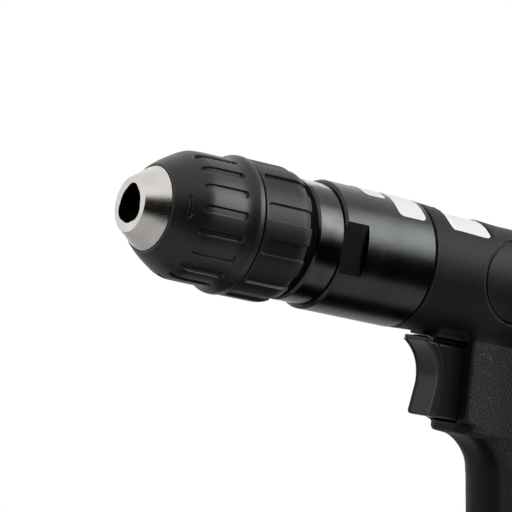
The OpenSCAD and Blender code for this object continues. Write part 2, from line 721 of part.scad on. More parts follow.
module nut_thrust_bearing() {
    inner_r = jaw_outer_r(thrust_face_at);
    outer_r = sleeve_bore_r - free_gap;
    front_at = nut_end_at + face_gap / 2;
    back_at = thrust_face_at - face_gap / 2;
    color("lightgray") {
        ring(outer_r, inner_r, front_at, front_at + thrust_washer_t);
        ring(outer_r, inner_r, back_at - thrust_washer_t, back_at);
        around(thrust_ball_count, 0) translate([thrust_ball_ring_r, 0, thrust_ball_at])
            sphere(r = thrust_ball_r);
    }
}

// Left-hand screw that locks the chuck on the spindle
module chuck_screw() {
    color("dimgray") difference() {
        union() {
            ring(screw_head_r, 0, screw_head_at, screw_seat_at);
            ring(screw_thread_r, 0, screw_head_at, screw_seat_at + screw_thread_len);
        }
        on_axis() translate([0, 0, screw_head_at - overrun])
            cylinder(r = screw_socket_r, h = overrun + screw_head_len * 2 / 3, $fn = 6);
    }
}

// Outside of the front sleeve, from its lip to its back edge
sleeve_skin = concat(
    [[sleeve_lip_r, sleeve_at]],
    bend([shoulder_r, shoulder_at], [grip_sleeve_r, (2 * shoulder_at + grip_sleeve_at) / 3],
        [grip_sleeve_r, grip_sleeve_at]),
    [[grip_sleeve_r, band_at - band_rise_len], [band_r - sleeve_edge, band_at - sleeve_edge],
        [band_r, band_at + sleeve_edge], [band_r, sleeve_end_at - sleeve_edge],
        [band_r - sleeve_edge, sleeve_end_at]]);

module front_sleeve() {
    land_r = nose_cone_r + face_gap;
    color([0.2, 0.2, 0.21]) difference() {
        turned(concat(sleeve_skin, [[sleeve_bore_r, sleeve_end_at], [sleeve_bore_r, nut_at - free_gap],
            [land_r, sleeve_at + sleeve_land_len], [land_r, sleeve_at]]));
        around(slot_count, slot_turn) translate([grip_sleeve_r - slot_depth, 0, slot_at + slot_len / 2])
            rotate([0, 90, 0]) linear_extrude(band_r) polygon(stadium(slot_len, slot_w));
    }
}

// Outside of the rear sleeve, from its front edge to its back edge
rear_skin = [[rear_sleeve_r - sleeve_edge, rear_sleeve_at], [rear_sleeve_r, rear_sleeve_at + sleeve_edge],
    [rear_sleeve_r, rear_sleeve_end_at - rear_taper_len], [rear_sleeve_back_r, rear_sleeve_end_at]];

// Layer that follows an outline, from a height over it down to a depth under it
function layer(skin, height, depth) = concat([for (p = skin) p + [height, 0]],
    [for (i = [len(skin) - 1 : -1 : 0]) skin[i] - [depth, 0]]);

module rear_sleeve() {
    bore_r = chuck_tail_r + seat_gap;
    flute_at = rear_sleeve_at + flute_land_len;
    flute_len = 2 * (rear_sleeve_end_at - flute_at);
    color([0.2, 0.2, 0.21]) difference() {
        turned(concat(rear_skin, [[bore_r, rear_sleeve_end_at], [bore_r, rear_sleeve_at]]));
        intersection() {
            turned(layer(concat(rear_skin, [[rear_sleeve_back_r, rear_sleeve_end_at + overrun]]), overrun,
                flute_depth));
            around(flute_count, flute_turn) translate([0, 0, flute_at + flute_len / 2]) rotate([0, 90, 0])
                linear_extrude(rear_sleeve_r + overrun) polygon(stadium(flute_len, flute_w));
        }
    }
}

module chuck_rear_ring() {
    color([0.08, 0.08, 0.08]) ring(rear_ring_r, chuck_tail_r + seat_gap, rear_ring_at, chuck_len);
}

// Spindle with the chuck's thread in front and the planet carrier behind
module spindle() {
    shoulder_end_at = seal_pocket_at - face_gap;
    color("slategray") difference() {
        turned([[0, screw_seat_at + face_gap], [spindle_thread_r, screw_seat_at + face_gap],
            [spindle_thread_r, chuck_len], [spindle_shoulder_r, chuck_len], [spindle_shoulder_r, shoulder_end_at],
            [spindle_seal_r, shoulder_end_at], [spindle_seal_r, front_bearing_at], [spindle_r, front_bearing_at],
            [spindle_r, carrier_at], [carrier_r, carrier_at], [carrier_r, carrier_end_at], [0, carrier_end_at]]);
        ring(screw_thread_r + running_gap, 0, screw_seat_at, screw_seat_at + screw_thread_len + overrun);
        around(3, 0) translate([planet_ring_r, 0, carrier_at - overrun])
            cylinder(r = planet_pin_r + seat_gap, h = carrier_t + 2 * overrun);
    }
}

module planet_pins() {
    color("lightgray") around(3, 0) translate([planet_ring_r, 0, carrier_at])
        cylinder(r = planet_pin_r, h = gear_end_at + face_gap - carrier_at);
}

// A planet gear, turned by half a tooth so that it meshes with the pinion and the ring gear
module planet_gear(index) {
    pitch_r = gear_module * planet_teeth / 2;
    color("goldenrod") on_axis() rotate([0, 0, 120 * index]) translate([planet_ring_r, 0, gear_at])
        linear_extrude(gear_w) difference() {
            rotate(180 / planet_teeth) polygon(gear_outline(planet_teeth, pitch_r - dedendum_share * gear_module,
                pitch_r + addendum_share * gear_module, backlash));
            circle(r = planet_pin_r + running_gap);
        }
}

module planet_gear_1() {
    planet_gear(0);
}

module planet_gear_2() {
    planet_gear(1);
}

module planet_gear_3() {
    planet_gear(2);
}

module ring_gear() {
    pitch_r = gear_module * ring_teeth / 2;
    color("darkgoldenrod") on_axis() translate([0, 0, gear_at])
        linear_extrude(ring_gear_end_at - gear_at) difference() {
            circle(r = ring_gear_r);
            rotate(180 / ring_teeth) polygon(gear_outline(ring_teeth, pitch_r - addendum_share * gear_module,
                pitch_r + dedendum_share * gear_module, -backlash));
        }
}

// Tube that holds the ring gear against its stop
module ring_spacer() {
    color("gray") ring(ring_gear_r, ring_gear_r - 2 * gear_module, ring_gear_end_at + face_gap / 2,
        plate_at - face_gap / 2);
}

module bearing_cap() {
    lip_r = spindle_shoulder_r + 2 * face_gap;
    color([0.25, 0.25, 0.26]) turned([[lip_r, cap_at], [cap_r - case_edge, cap_at], [cap_r, cap_at + case_edge],
        [cap_r, cap_end_at], [cap_spigot_r, cap_end_at], [cap_spigot_r, front_bearing_end_at],
        [front_bearing_r, front_bearing_end_at], [front_bearing_r, front_bearing_at - face_gap],
        [seal_r, front_bearing_at - face_gap], [seal_r, seal_pocket_at], [lip_r, seal_pocket_at]]);
}

module spindle_seal() {
    color([0.1, 0.1, 0.1]) ring(seal_r - seat_gap, spindle_seal_r + running_gap, seal_pocket_at + face_gap / 2,
        seal_pocket_at + face_gap / 2 + seal_w);
}

module gear_case() {
    web_r = spindle_r + (rear_bearing_r - spindle_r) * 2 / 3;
    room_r = ring_gear_r + running_gap;
    carrier_room_r = carrier_r + 2 * free_gap;
    color([0.25, 0.25, 0.26]) difference() {
        turned([[case_r - case_edge, case_at], [case_r, case_at + case_edge], [case_r, case_end_at],
            [case_spigot_r, case_end_at], [case_spigot_r, case_spigot_end_at], [room_r, case_spigot_end_at],
            [room_r, ring_stop_at], [carrier_room_r, ring_stop_at], [carrier_room_r, rear_bearing_end_at],
            [rear_bearing_r, rear_bearing_end_at], [rear_bearing_r, rear_bearing_at - face_gap],
            [web_r, rear_bearing_at - face_gap], [web_r, case_web_at],
            [cap_spigot_r + running_gap, case_web_at], [cap_spigot_r + running_gap, case_at]]);
        for (side = [-1, 1])
            translate([-case_at - flats_len, side * (3 / 2 * case_r - flat_depth) - case_r / 2, -case_r])
                cube([flats_len + overrun, case_r, 2 * case_r]);
    }
}

module joint_gasket() {
    color([0.05, 0.05, 0.05]) ring(case_r - gasket_inset, case_spigot_r + running_gap, case_end_at + face_gap / 4,
        case_end_at + face_gap / 4 + gasket_t);
}

module front_bearing_outer() {
    color("silver") bearing_outer(spindle_r, front_bearing_r, front_bearing_at, front_bearing_w);
}

module front_bearing_inner() {
    color("silver") bearing_inner(spindle_r, front_bearing_r, front_bearing_at, front_bearing_w);
}

module rear_bearing_outer() {
    color("silver") bearing_outer(spindle_r, rear_bearing_r, rear_bearing_at, rear_bearing_w);
}

module rear_bearing_inner() {
    color("silver") bearing_inner(spindle_r, rear_bearing_r, rear_bearing_at, rear_bearing_w);
}

module spindle_bearing_balls() {
    color("white") {
        bearing_balls(spindle_r, front_bearing_r, front_bearing_at, front_bearing_w);
        bearing_balls(spindle_r, rear_bearing_r, rear_bearing_at, rear_bearing_w);
    }
}

module rotor_bearing_outers() {
    color("silver") for (at = [rotor_front_bearing_at, rotor_rear_bearing_at])
        bearing_outer(rotor_journal_r, rotor_bearing_r, at, rotor_bearing_w);
}

module rotor_bearing_inners() {
    color("silver") for (at = [rotor_front_bearing_at, rotor_rear_bearing_at])
        bearing_inner(rotor_journal_r, rotor_bearing_r, at, rotor_bearing_w);
}

module rotor_bearing_balls() {
    color("white") for (at = [rotor_front_bearing_at, rotor_rear_bearing_at])
        bearing_balls(rotor_journal_r, rotor_bearing_r, at, rotor_bearing_w);
}

// Hole for the pin that runs through both end plates and the liner
module liner_pin_hole() {
    translate([0, 0, -liner_pin_drop])
        ring(liner_pin_r + seat_gap, 0, liner_at - plate_wall, liner_end_at + plate_wall);
}

// Length by which the liner's pin reaches into an end plate
function pin_reach() = plate_wall * 2 / 3;

module liner_pin() {
    color("lightgray") translate([0, 0, -liner_pin_drop])
        ring(liner_pin_r, 0, liner_at - pin_reach(), liner_end_at + pin_reach());
}

// End plate whose wall lies between wall_from and wall_to and whose bearing lies beside it
module end_plate(from_at, to_at, pocket_from, pocket_to) {
    color("lightsteelblue") difference() {
        ring(liner_r, rotor_journal_r + 2 * free_gap, from_at, to_at);
        ring(rotor_bearing_r, 0, pocket_from, pocket_to);
        liner_pin_hole();
    }
}

module front_end_plate() {
    end_plate(plate_at, liner_at, plate_at - overrun, liner_at - plate_wall);
}

module rear_end_plate() {
    end_plate(liner_end_at, rear_plate_end_at, liner_end_at + plate_wall, rear_plate_end_at + overrun);
}

// Liner with its bore above the rotor's axis, an air slot below and exhaust slots at both sides
module motor_liner() {
    slot_w = liner_len / 10;
    color("steelblue") difference() {
        ring(liner_r, 0, liner_at, liner_end_at);
        translate([0, 0, liner_offset]) ring(liner_bore_r, 0, liner_at - overrun, liner_end_at + overrun);
        liner_pin_hole();
        for (share = [0.3, 0.5, 0.7])
            translate([-liner_at - liner_len * share, 0, 0]) rotate([90, 0, 0])
                cylinder(d = slot_w, h = 2 * liner_r + 2 * overrun, center = true);
    }
}

// Rotor with its blade slots, its journals and the pinion cut on its front end
module rotor() {
    pitch_r = gear_module * sun_teeth / 2;
    slot_low_r = rotor_r - blade_h - free_gap;
    color("gainsboro") difference() {
        union() {
            on_axis() translate([0, 0, gear_at]) linear_extrude(gear_w + face_gap)
                polygon(gear_outline(sun_teeth, pitch_r - dedendum_share * gear_module,
                    pitch_r + addendum_share * gear_module, backlash));
            ring(rotor_neck_r, 0, gear_end_at, plate_at);
            ring(rotor_journal_r, 0, plate_at - face_gap, rear_plate_end_at - face_gap);
            ring(rotor_r, 0, rotor_at, rotor_end_at);
        }
        around(blade_count, 0)
            translate([slot_low_r, -blade_t / 2 - running_gap, rotor_at - overrun])
                cube([rotor_r, blade_t + 2 * running_gap, rotor_end_at - rotor_at + 2 * overrun]);
    }
}

module rotor_blades() {
    color("sienna") around(blade_count, 0)
        translate([rotor_r - blade_h - free_gap / 2, -blade_t / 2, rotor_at])
            cube([blade_h, blade_t, rotor_end_at - rotor_at]);
}

module motor_spring_washer() {
    color("gray") ring(liner_r - free_gap, rotor_bearing_r + free_gap, spring_washer_at,
        spring_washer_at + spring_washer_t);
}

// Block around the trigger, which widens the upper grip to the front
module saddle() {
    hull() {
        saddle_plate(saddle_top_at, 0);
        saddle_plate(saddle_low_at, -saddle_drop);
    }
}

module saddle_plate(front_at, z) {
    inner_len = throttle_end_at - front_at - saddle_corner;
    translate([-throttle_end_at, 0, z]) linear_extrude(overrun) offset(r = saddle_corner, $fn = 32)
        translate([0, saddle_corner - saddle_w / 2]) square([inner_len, saddle_w - 2 * saddle_corner]);
}

// Grip with round corners along its raked axis
module grip_block() {
    on_grip() translate([0, 0, -grip_len]) linear_extrude(grip_len)
        offset(r = grip_corner, $fn = 48)
            square([grip_depth - 2 * grip_corner, grip_w - 2 * grip_corner], center = true);
}

// Web whose front is the curve between the block under the trigger and the grip
module finger_web() {
    curve_z = -saddle_drop - finger_curve_r;
    front_x = -grip_at + curve_z * tan(grip_rake) + grip_depth / 2 / cos(grip_rake);
    curve_x = front_x + finger_curve_r / cos(grip_rake);
    web_w = saddle_w - saddle_corner / 2;
    web_rise = finger_curve_r * sin(grip_rake);
    difference() {
        translate([front_x - saddle_corner, -web_w / 2, curve_z + web_rise])
            cube([curve_x - front_x + saddle_corner, web_w, finger_curve_r - web_rise + overrun]);
        translate([curve_x, 0, curve_z]) rotate([90, 0, 0])
            cylinder(r = finger_curve_r, h = web_w + 2 * overrun, center = true);
    }
}

// Room in which the reverse lever swings
module lever_room() {
    arm_reach = lever_pivot_at - housing_at;
    room_w = lever_arm_w / 2 + free_gap;
    translate([-lever_pivot_at, 0, -lever_low - face_gap]) linear_extrude(lever_t + 2 * face_gap) {
        circle(r = lever_hub_r + free_gap);
        polygon([[0, -lever_hub_r], [arm_reach, -room_w - arm_reach * tan(lever_swing)],
            [arm_reach, room_w + arm_reach * tan(lever_swing)], [0, lever_hub_r]]);
    }
}

// Rib under the barrel that closes the room above the lever; the lever's room trims its underside
module lever_rib() {
    from_at = housing_at + rib_back;
    translate([-lever_pivot_at, -rib_w / 2, -lever_drop])
        cube([lever_pivot_at - from_at, rib_w, lever_drop - liner_r]);
}

// Outside of the housing's barrel, from its front edge to its dome
dome_at = housing_end_at - housing_dome_len;
barrel_skin = [[housing_front_r, housing_at], [housing_r, housing_at + barrel_taper_len], [housing_r, dome_at]];

// Moulded housing: the motor's barrel, the block around the trigger and the grip in one piece
module housing() {
    pocket_top = trigger_drop - free_gap;
    color([0.16, 0.16, 0.17]) difference() {
        union() {
            turned(concat([[0, housing_at]], barrel_skin,
                bend([housing_r, dome_at], [housing_r, housing_end_at], [0, housing_end_at])));
            saddle();
            grip_block();
            finger_web();
            lever_rib();
        }
        ring(case_spigot_r + running_gap, 0, housing_at - overrun, case_spigot_end_at + face_gap);
        ring(motor_bore_r, 0, housing_at, motor_bore_end_at);
        // Room for the trigger and the throttle valve
        translate([-pocket_end_at, -pocket_w / 2, -pocket_top - pocket_h])
            cube([pocket_end_at - trigger_tip_at, pocket_w, pocket_h]);
        throttle_rod(throttle_bushing_r + seat_gap, pocket_end_at - overrun, throttle_end_at + face_gap);
        // Room for the reverse lever, its valve and its pivot
        lever_room();
        translate([-lever_pivot_at, 0, -lever_low - lever_stub_h - face_gap])
            cylinder(r = lever_stub_r + running_gap, h = lever_stub_h + lever_t);
        translate([-lever_pivot_at, 0, -lever_drop - face_gap])
            cylinder(r = reverse_bushing_r + seat_gap, h = reverse_valve_h + face_gap);
        // Air way up the grip, exhaust ways down both its sides, and the exhaust room at its base
        on_grip() {
            translate([0, 0, inlet_top_z - overrun]) cylinder(r = inlet_way_r,
                h = -inlet_top_z - throttle_drop * cos(grip_rake) + overrun);
            translate([0, 0, -grip_len])
                cylinder(r = inlet_shank_r + seat_gap, h = inlet_top_z + grip_len + face_gap);
            translate([0, 0, -grip_len - overrun]) cylinder(r = exhaust_room_r, h = exhaust_room_h + overrun);
            for (side = [-1, 1])
                translate([-exhaust_way_r, side * exhaust_way_y, exhaust_room_h - grip_len - overrun])
                    cylinder(r = exhaust_way_r, h = grip_len - exhaust_room_h - motor_bore_r * cos(45) + overrun);
        }
        // Seat of the label, and the pockets of the two side badges
        patch(case_r, housing_r, housing_label_at - free_gap, housing_label_len + 2 * free_gap,
            housing_label_angle + atan(free_gap / housing_r));
        intersection() {
            turned(layer(barrel_skin, overrun, badge_pocket));
            union() {
                side_oval(1, 0);
                side_oval(-1, 0);
            }
        }
    }
}

module side_badge(side) {
    color([0.12, 0.12, 0.13]) intersection() {
        turned(layer(barrel_skin, badge_t + seat_gap - badge_pocket, badge_pocket - seat_gap));
        side_oval(side, badge_pocket / 2);
    }
}

module left_badge() {
    side_badge(1);
}

module right_badge() {
    side_badge(-1);
}

module small_label() {
    color("white") label(case_r, small_label_at, small_label_len, small_label_angle);
}

module case_label() {
    color("white") label(case_r, case_label_at, case_label_len, case_label_angle);
}

module housing_label() {
    color("white") label(housing_r, housing_label_at, housing_label_len, housing_label_angle);
}

// Trigger with a hollow front, bored for the throttle's stem and its pin
module trigger() {
    low = trigger_drop + trigger_h;
    middle = trigger_drop + trigger_h * 4 / 7;
    front = concat(
        bend([-trigger_tip_at, -trigger_drop], [-trigger_waist_at, -trigger_drop - trigger_h / 5],
            [-trigger_waist_at, -middle]),
        [[-trigger_low_at, -low]]);
    color([0.13, 0.13, 0.14]) difference() {
        translate([0, trigger_w / 2, 0]) rotate([90, 0, 0]) linear_extrude(trigger_w)
            polygon(concat(front, [[-trigger_back_at, -low], [-trigger_back_at, -trigger_drop]]));
        throttle_rod(stem_r + seat_gap, stem_at - face_gap, trigger_back_at + overrun);
        trigger_pin_rod(trigger_pin_r + seat_gap, trigger_w + 2 * overrun);
    }
}

module trigger_pin_rod(r, length) {
    translate([-trigger_pin_at, 0, -throttle_drop]) rotate([90, 0, 0])
        cylinder(r = r, h = length, center = true);
}

module trigger_pin() {
    color("silver") trigger_pin_rod(trigger_pin_r, trigger_w - free_gap);
}

// Stem with the valve that closes the air way
module throttle_stem() {
    color("gold") difference() {
        union() {
            throttle_rod(stem_r, stem_at, spring_at);
            throttle_rod(throttle_bore_r - free_gap, valve_at, spring_at);
        }
        trigger_pin_rod(trigger_pin_r + seat_gap, 4 * stem_r);
    }
}

// Ring on the valve's front face, against the seat in the bushing
module stem_seal() {
    ring_r = (throttle_bore_r - stem_r) / 4;
    color([0.1, 0.1, 0.1]) translate([0, 0, -throttle_drop]) on_axis()
        translate([0, 0, valve_at - ring_r - seat_gap]) rotate_extrude()
            translate([stem_r + ring_r + seat_gap, 0]) circle(r = ring_r);
}

// Bushing with the stem's guide in front and a closed back, open below to the air way
module throttle_bushing() {
    guide_end_at = throttle_at + 2 * throttle_cap_t;
    color("darkkhaki") difference() {
        throttle_rod(throttle_bushing_r, throttle_at, throttle_end_at);
        throttle_rod(stem_r + running_gap, throttle_at - overrun, guide_end_at + overrun);
        throttle_rod(throttle_bore_r, guide_end_at, throttle_end_at - throttle_cap_t);
        on_grip() translate([0, 0, -throttle_drop - 2 * throttle_bushing_r])
            cylinder(r = throttle_bore_r * 2 / 3, h = 2 * throttle_bushing_r);
    }
}

module throttle_spring() {
    color("lightgray") difference() {
        throttle_rod(throttle_bore_r - 2 * free_gap, spring_at + seat_gap,
            throttle_end_at - throttle_cap_t - seat_gap);
        throttle_rod(stem_r, spring_at - overrun, throttle_end_at);
    }
}

// Lever with its cross bar in front, and the reverse valve and a pivot on its hub
module reverse_lever() {
    arm_len = lever_pivot_at - lever_bar_at - lever_bar_len / 2;
    color([0.13, 0.13, 0.14]) translate([-lever_pivot_at, 0, 0]) union() {
        translate([0, 0, -lever_low]) linear_extrude(lever_t) {
            circle(r = lever_hub_r);
            translate([0, -lever_arm_w / 2]) square([arm_len, lever_arm_w]);
            translate([arm_len, 0]) rotate(90) polygon(stadium(lever_bar_w, lever_bar_len));
        }
        translate([0, 0, -lever_drop - overrun])
            cylinder(r = reverse_valve_r, h = reverse_valve_h - face_gap + overrun);
        translate([0, 0, -lever_low - lever_stub_h]) cylinder(r = lever_stub_r, h = lever_stub_h + lever_t / 2);
    }
}

module reverse_bushing() {
    color("darkkhaki") translate([-lever_pivot_at, 0, -reverse_bushing_drop]) difference() {
        cylinder(r = reverse_bushing_r, h = reverse_bushing_h);
        translate([0, 0, -overrun])
            cylinder(r = reverse_valve_r + running_gap, h = reverse_bushing_h + 2 * overrun);
    }
}

// Inlet bushing: screwed up into the grip, with the air fitting's thread in its hexagon
module inlet_bushing() {
    color("gray") on_grip() difference() {
        union() {
            translate([0, 0, inlet_low_z]) cylinder(r = inlet_hex_r, h = inlet_hex_h, $fn = 6);
            translate([0, 0, inlet_low_z]) cylinder(r = inlet_shank_r, h = inlet_top_z - inlet_low_z);
        }
        translate([0, 0, inlet_low_z - overrun]) cylinder(r = inlet_thread_r,
            h = inlet_thread_len + overrun);
        translate([0, 0, inlet_low_z]) cylinder(r = screen_r, h = inlet_thread_len + screen_t + face_gap);
        translate([0, 0, inlet_low_z]) cylinder(r = inlet_way_r, h = inlet_top_z - inlet_low_z + overrun);
    }
}

module inlet_screen() {
    span = 2 * screen_r / (screen_holes + 2);
    color("silver") on_grip() translate([0, 0, screen_z]) difference() {
        cylinder(r = screen_r - seat_gap, h = screen_t);
        for (i = [0 : screen_holes - 1], j = [0 : screen_holes - 1])
            if (norm([i, j] - [1, 1] * (screen_holes - 1) / 2) <= screen_holes / 2)
                translate([(i - (screen_holes - 1) / 2) * span, (j - (screen_holes - 1) / 2) * span, -overrun])
                    cylinder(d = span * 2 / 3, h = screen_t + 2 * overrun);
    }
}

module muffler_felt() {
    color("beige") on_grip() translate([0, 0, face_gap - grip_len]) difference() {
        cylinder(r = exhaust_room_r - seat_gap, h = felt_h);
        translate([0, 0, -overrun]) cylinder(r = inlet_shank_r + face_gap, h = felt_h + 2 * overrun);
    }
}

// Cup round the inlet bushing that turns the exhaust to any side
module exhaust_deflector() {
    color([0.12, 0.12, 0.12]) on_grip() translate([0, 0, deflector_z]) difference() {
        cylinder(r = deflector_r, h = deflector_h);
        translate([0, 0, -overrun]) cylinder(r = inlet_shank_r + running_gap, h = deflector_h + 2 * overrun);
        translate([0, 0, deflector_wall]) cylinder(r = deflector_r - deflector_wall, h = deflector_h);
        for (i = [0 : outlet_count - 1])
            rotate([0, 0, 180 + 18 * (i - (outlet_count - 1) / 2)])
                translate([inlet_shank_r, -outlet_w / 2, 2 * deflector_wall])
                    cube([deflector_r, outlet_w, deflector_h - 4 * deflector_wall]);
    }
}

housing();
gear_case();
bearing_cap();
joint_gasket();
spindle_seal();
ring_gear();
ring_spacer();
front_bearing_outer();
rear_bearing_outer();
spindle_bearing_balls();
front_end_plate();
motor_liner();
rear_end_plate();
liner_pin();
rotor_bearing_outers();
rotor_bearing_balls();
motor_spring_washer();
throttle_bushing();
throttle_spring();
reverse_bushing();
inlet_bushing();
inlet_screen();
muffler_felt();
small_label();
case_label();
housing_label();
left_badge();
right_badge();
spindle();
planet_pins();
front_bearing_inner();
rear_bearing_inner();
chuck_body();
chuck_screw();
rear_sleeve();
chuck_rear_ring();
front_sleeve();
jaw_nut();
nut_thrust_bearing();
jaw_1();
jaw_2();
jaw_3();
planet_gear_1();
planet_gear_2();
planet_gear_3();
rotor();
rotor_blades();
rotor_bearing_inners();
trigger();
trigger_pin();
throttle_stem();
stem_seal();
reverse_lever();
exhaust_deflector();
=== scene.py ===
from functools import reduce
from math import cos, radians, sin

import bpy
import numpy as np
from mathutils import Matrix, Vector


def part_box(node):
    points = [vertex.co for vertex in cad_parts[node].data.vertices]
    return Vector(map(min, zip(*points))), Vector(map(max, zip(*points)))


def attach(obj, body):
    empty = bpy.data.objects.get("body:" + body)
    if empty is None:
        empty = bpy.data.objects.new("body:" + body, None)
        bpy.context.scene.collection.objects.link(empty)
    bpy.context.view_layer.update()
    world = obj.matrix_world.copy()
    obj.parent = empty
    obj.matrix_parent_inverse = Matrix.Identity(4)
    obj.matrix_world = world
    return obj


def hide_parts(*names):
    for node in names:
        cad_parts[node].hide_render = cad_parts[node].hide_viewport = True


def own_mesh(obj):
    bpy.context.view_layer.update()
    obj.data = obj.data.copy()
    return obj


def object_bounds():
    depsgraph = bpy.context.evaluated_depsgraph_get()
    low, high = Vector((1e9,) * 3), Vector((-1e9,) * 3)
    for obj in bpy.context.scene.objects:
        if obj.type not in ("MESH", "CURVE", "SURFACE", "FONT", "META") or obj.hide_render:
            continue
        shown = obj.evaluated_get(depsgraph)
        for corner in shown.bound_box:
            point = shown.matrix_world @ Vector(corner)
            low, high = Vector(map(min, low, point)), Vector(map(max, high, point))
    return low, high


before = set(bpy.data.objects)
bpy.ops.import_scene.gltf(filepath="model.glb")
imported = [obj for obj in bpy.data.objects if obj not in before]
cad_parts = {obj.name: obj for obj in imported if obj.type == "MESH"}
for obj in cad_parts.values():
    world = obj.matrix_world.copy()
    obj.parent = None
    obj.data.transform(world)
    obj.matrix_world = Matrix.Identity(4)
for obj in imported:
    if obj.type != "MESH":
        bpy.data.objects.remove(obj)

cad_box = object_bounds()

# Camera: a long lens in front of the drill's left side, a little lower than the spindle and rolled,
# so that the chuck points down to the left as it does in the photograph.
camera = bpy.data.objects.new("camera", bpy.data.cameras.new("camera"))
camera.data.lens = 222.7
camera.data.sensor_width = 36
camera.matrix_world = Matrix((
    (-0.82360, 0.17921, 0.53818, 0.44052),
    (0.53804, -0.05357, 0.84128, 0.75715),
    (0.17959, 0.98239, -0.05230, -0.05377),
    (0, 0, 0, 1),
))
bpy.context.scene.collection.objects.link(camera)
bpy.context.scene.camera = camera
bpy.context.scene.view_settings.view_transform = "Standard"


# Studio: a white surround, a pale matt floor under the grip's base, and one large softbox with a brighter
# core above the left side. Black and grey cloths show only as dark bands in what the turned steel reflects.
class Wire:
    """A shader socket that can stand in a sum; each sum adds its Math node."""

    def __init__(self, tree, socket=None):
        self.tree = tree
        self.socket = socket

    def node(self, kind, settings=None, sockets=None, output=0):
        """Adds any node: its settings first, then the values or links of its sockets."""
        added = self.tree.nodes.new("ShaderNode" + kind)
        for name, value in (settings or {}).items():
            setattr(added, name, value)
        for name, value in (sockets or {}).items():
            if isinstance(value, Wire):
                self.tree.links.new(value.socket, added.inputs[name])
            else:
                added.inputs[name].default_value = value
        return Wire(self.tree, added.outputs[output])

    def math(self, operation, *values):
        return self.node("Math", {"operation": operation}, dict(enumerate(values)))

    def __add__(self, other):
        return self.math("ADD", self, other)

    __radd__ = __add__

    def __sub__(self, other):
        return self.math("SUBTRACT", self, other)

    def __rsub__(self, other):
        return self.math("SUBTRACT", other, self)

    def __mul__(self, other):
        return self.math("MULTIPLY", self, other)

    __rmul__ = __mul__

    def between(self, low, high):
        """0 below low, 1 above high and a smooth step in between."""
        return self.node("MapRange", {"interpolation_type": "SMOOTHSTEP"},
                         {"Value": self, "From Min": low, "From Max": high})

    def mix(self, low, high):
        """One colour where this is 0 and the other where it is 1."""
        return self.node("Mix", {"data_type": "RGBA"}, {0: self, 6: low, 7: high}, 2)


surround = bpy.data.worlds.new("white_surround")
surround.use_nodes = True
bpy.context.scene.world = surround
sky = Wire(surround.node_tree)
ray_kinds = ("Is Camera Ray", "Is Glossy Ray", "Is Transmission Ray")
ray = [sky.node("LightPath", output=kind) for kind in ray_kinds]
ambient = 0.32
strength = ambient + (1 - ambient) * (ray[0] + ray[1] + ray[2])
backdrop = surround.node_tree.nodes["Background"]
backdrop.inputs["Color"].default_value = (1, 1, 1, 1)
surround.node_tree.links.new(strength.socket, backdrop.inputs["Strength"])


def finish(name, fixed, varying):
    """Material with the constant sockets of its shader, and varying(wire) for those that change over it."""
    material = bpy.data.materials.new(name)
    material.use_nodes = True
    shader = material.node_tree.nodes["Principled BSDF"]
    for socket, value in fixed.items():
        shader.inputs[socket].default_value = value
    for socket, wire in varying(Wire(material.node_tree)).items():
        material.node_tree.links.new(wire.socket, shader.inputs[socket])
    return material


def mesh_object(name, spots, faces, material):
    """Smooth-shaded mesh from corners in metres and faces, with its creases kept sharp."""
    mesh = bpy.data.meshes.new(name)
    mesh.from_pydata(np.asarray(spots).tolist(), [], faces)
    mesh.polygons.foreach_set("use_smooth", np.ones(len(mesh.polygons), dtype=bool))
    crease = radians(38)
    mesh.set_sharp_from_angle(angle=crease)
    mesh.materials.append(material)
    made = bpy.data.objects.new(name, mesh)
    bpy.context.scene.collection.objects.link(made)
    return made


def softbox(name, centre, facing, width, height, watts):
    """Rectangular lamp at a centre, turned to face a spot."""
    lamp = bpy.data.objects.new(name, bpy.data.lights.new(name, "AREA"))
    lamp.data.shape = "RECTANGLE"
    lamp.data.size, lamp.data.size_y = width, height
    lamp.data.energy = watts
    lamp.location = centre
    lamp.rotation_euler = (Vector(centre) - Vector(facing)).to_track_quat("Z", "Y").to_euler()
    bpy.context.scene.collection.objects.link(lamp)


def floor_look(wire):
    spot = wire.node("TexCoord", output="Object")
    cloud = wire.node("TexNoise", {}, {"Vector": spot, "Scale": 14})
    return {"Base Color": cloud.between(0.2, 0.8).mix((0.80, 0.80, 0.79, 1), (0.84, 0.84, 0.83, 1))}


floor_gap, floor_x, floor_half = 0.0005, -0.16, 0.5
floor_z = cad_box[0][2] - floor_gap
floor_paint = finish("pale_floor", {"Roughness": 0.8, "Specular IOR Level": 0}, floor_look)
floor_corners = [(floor_x + along * floor_half, across * floor_half, floor_z)
                 for along, across in ((-1, -1), (1, -1), (1, 1), (-1, 1))]
floor = mesh_object("floor", floor_corners, [(0, 1, 2, 3)], floor_paint)


def cloth_finish(name, dark, light):
    """Matt cloth with a fine weave in its colour."""
    def varying(wire):
        spot = wire.node("TexCoord", output="Object")
        weave = wire.node("TexNoise", {}, {"Vector": spot, "Scale": 300})
        return {"Base Color": weave.mix((*dark, 1), (*light, 1))}
    return finish(name, {"Roughness": 1, "Specular IOR Level": 0}, varying)


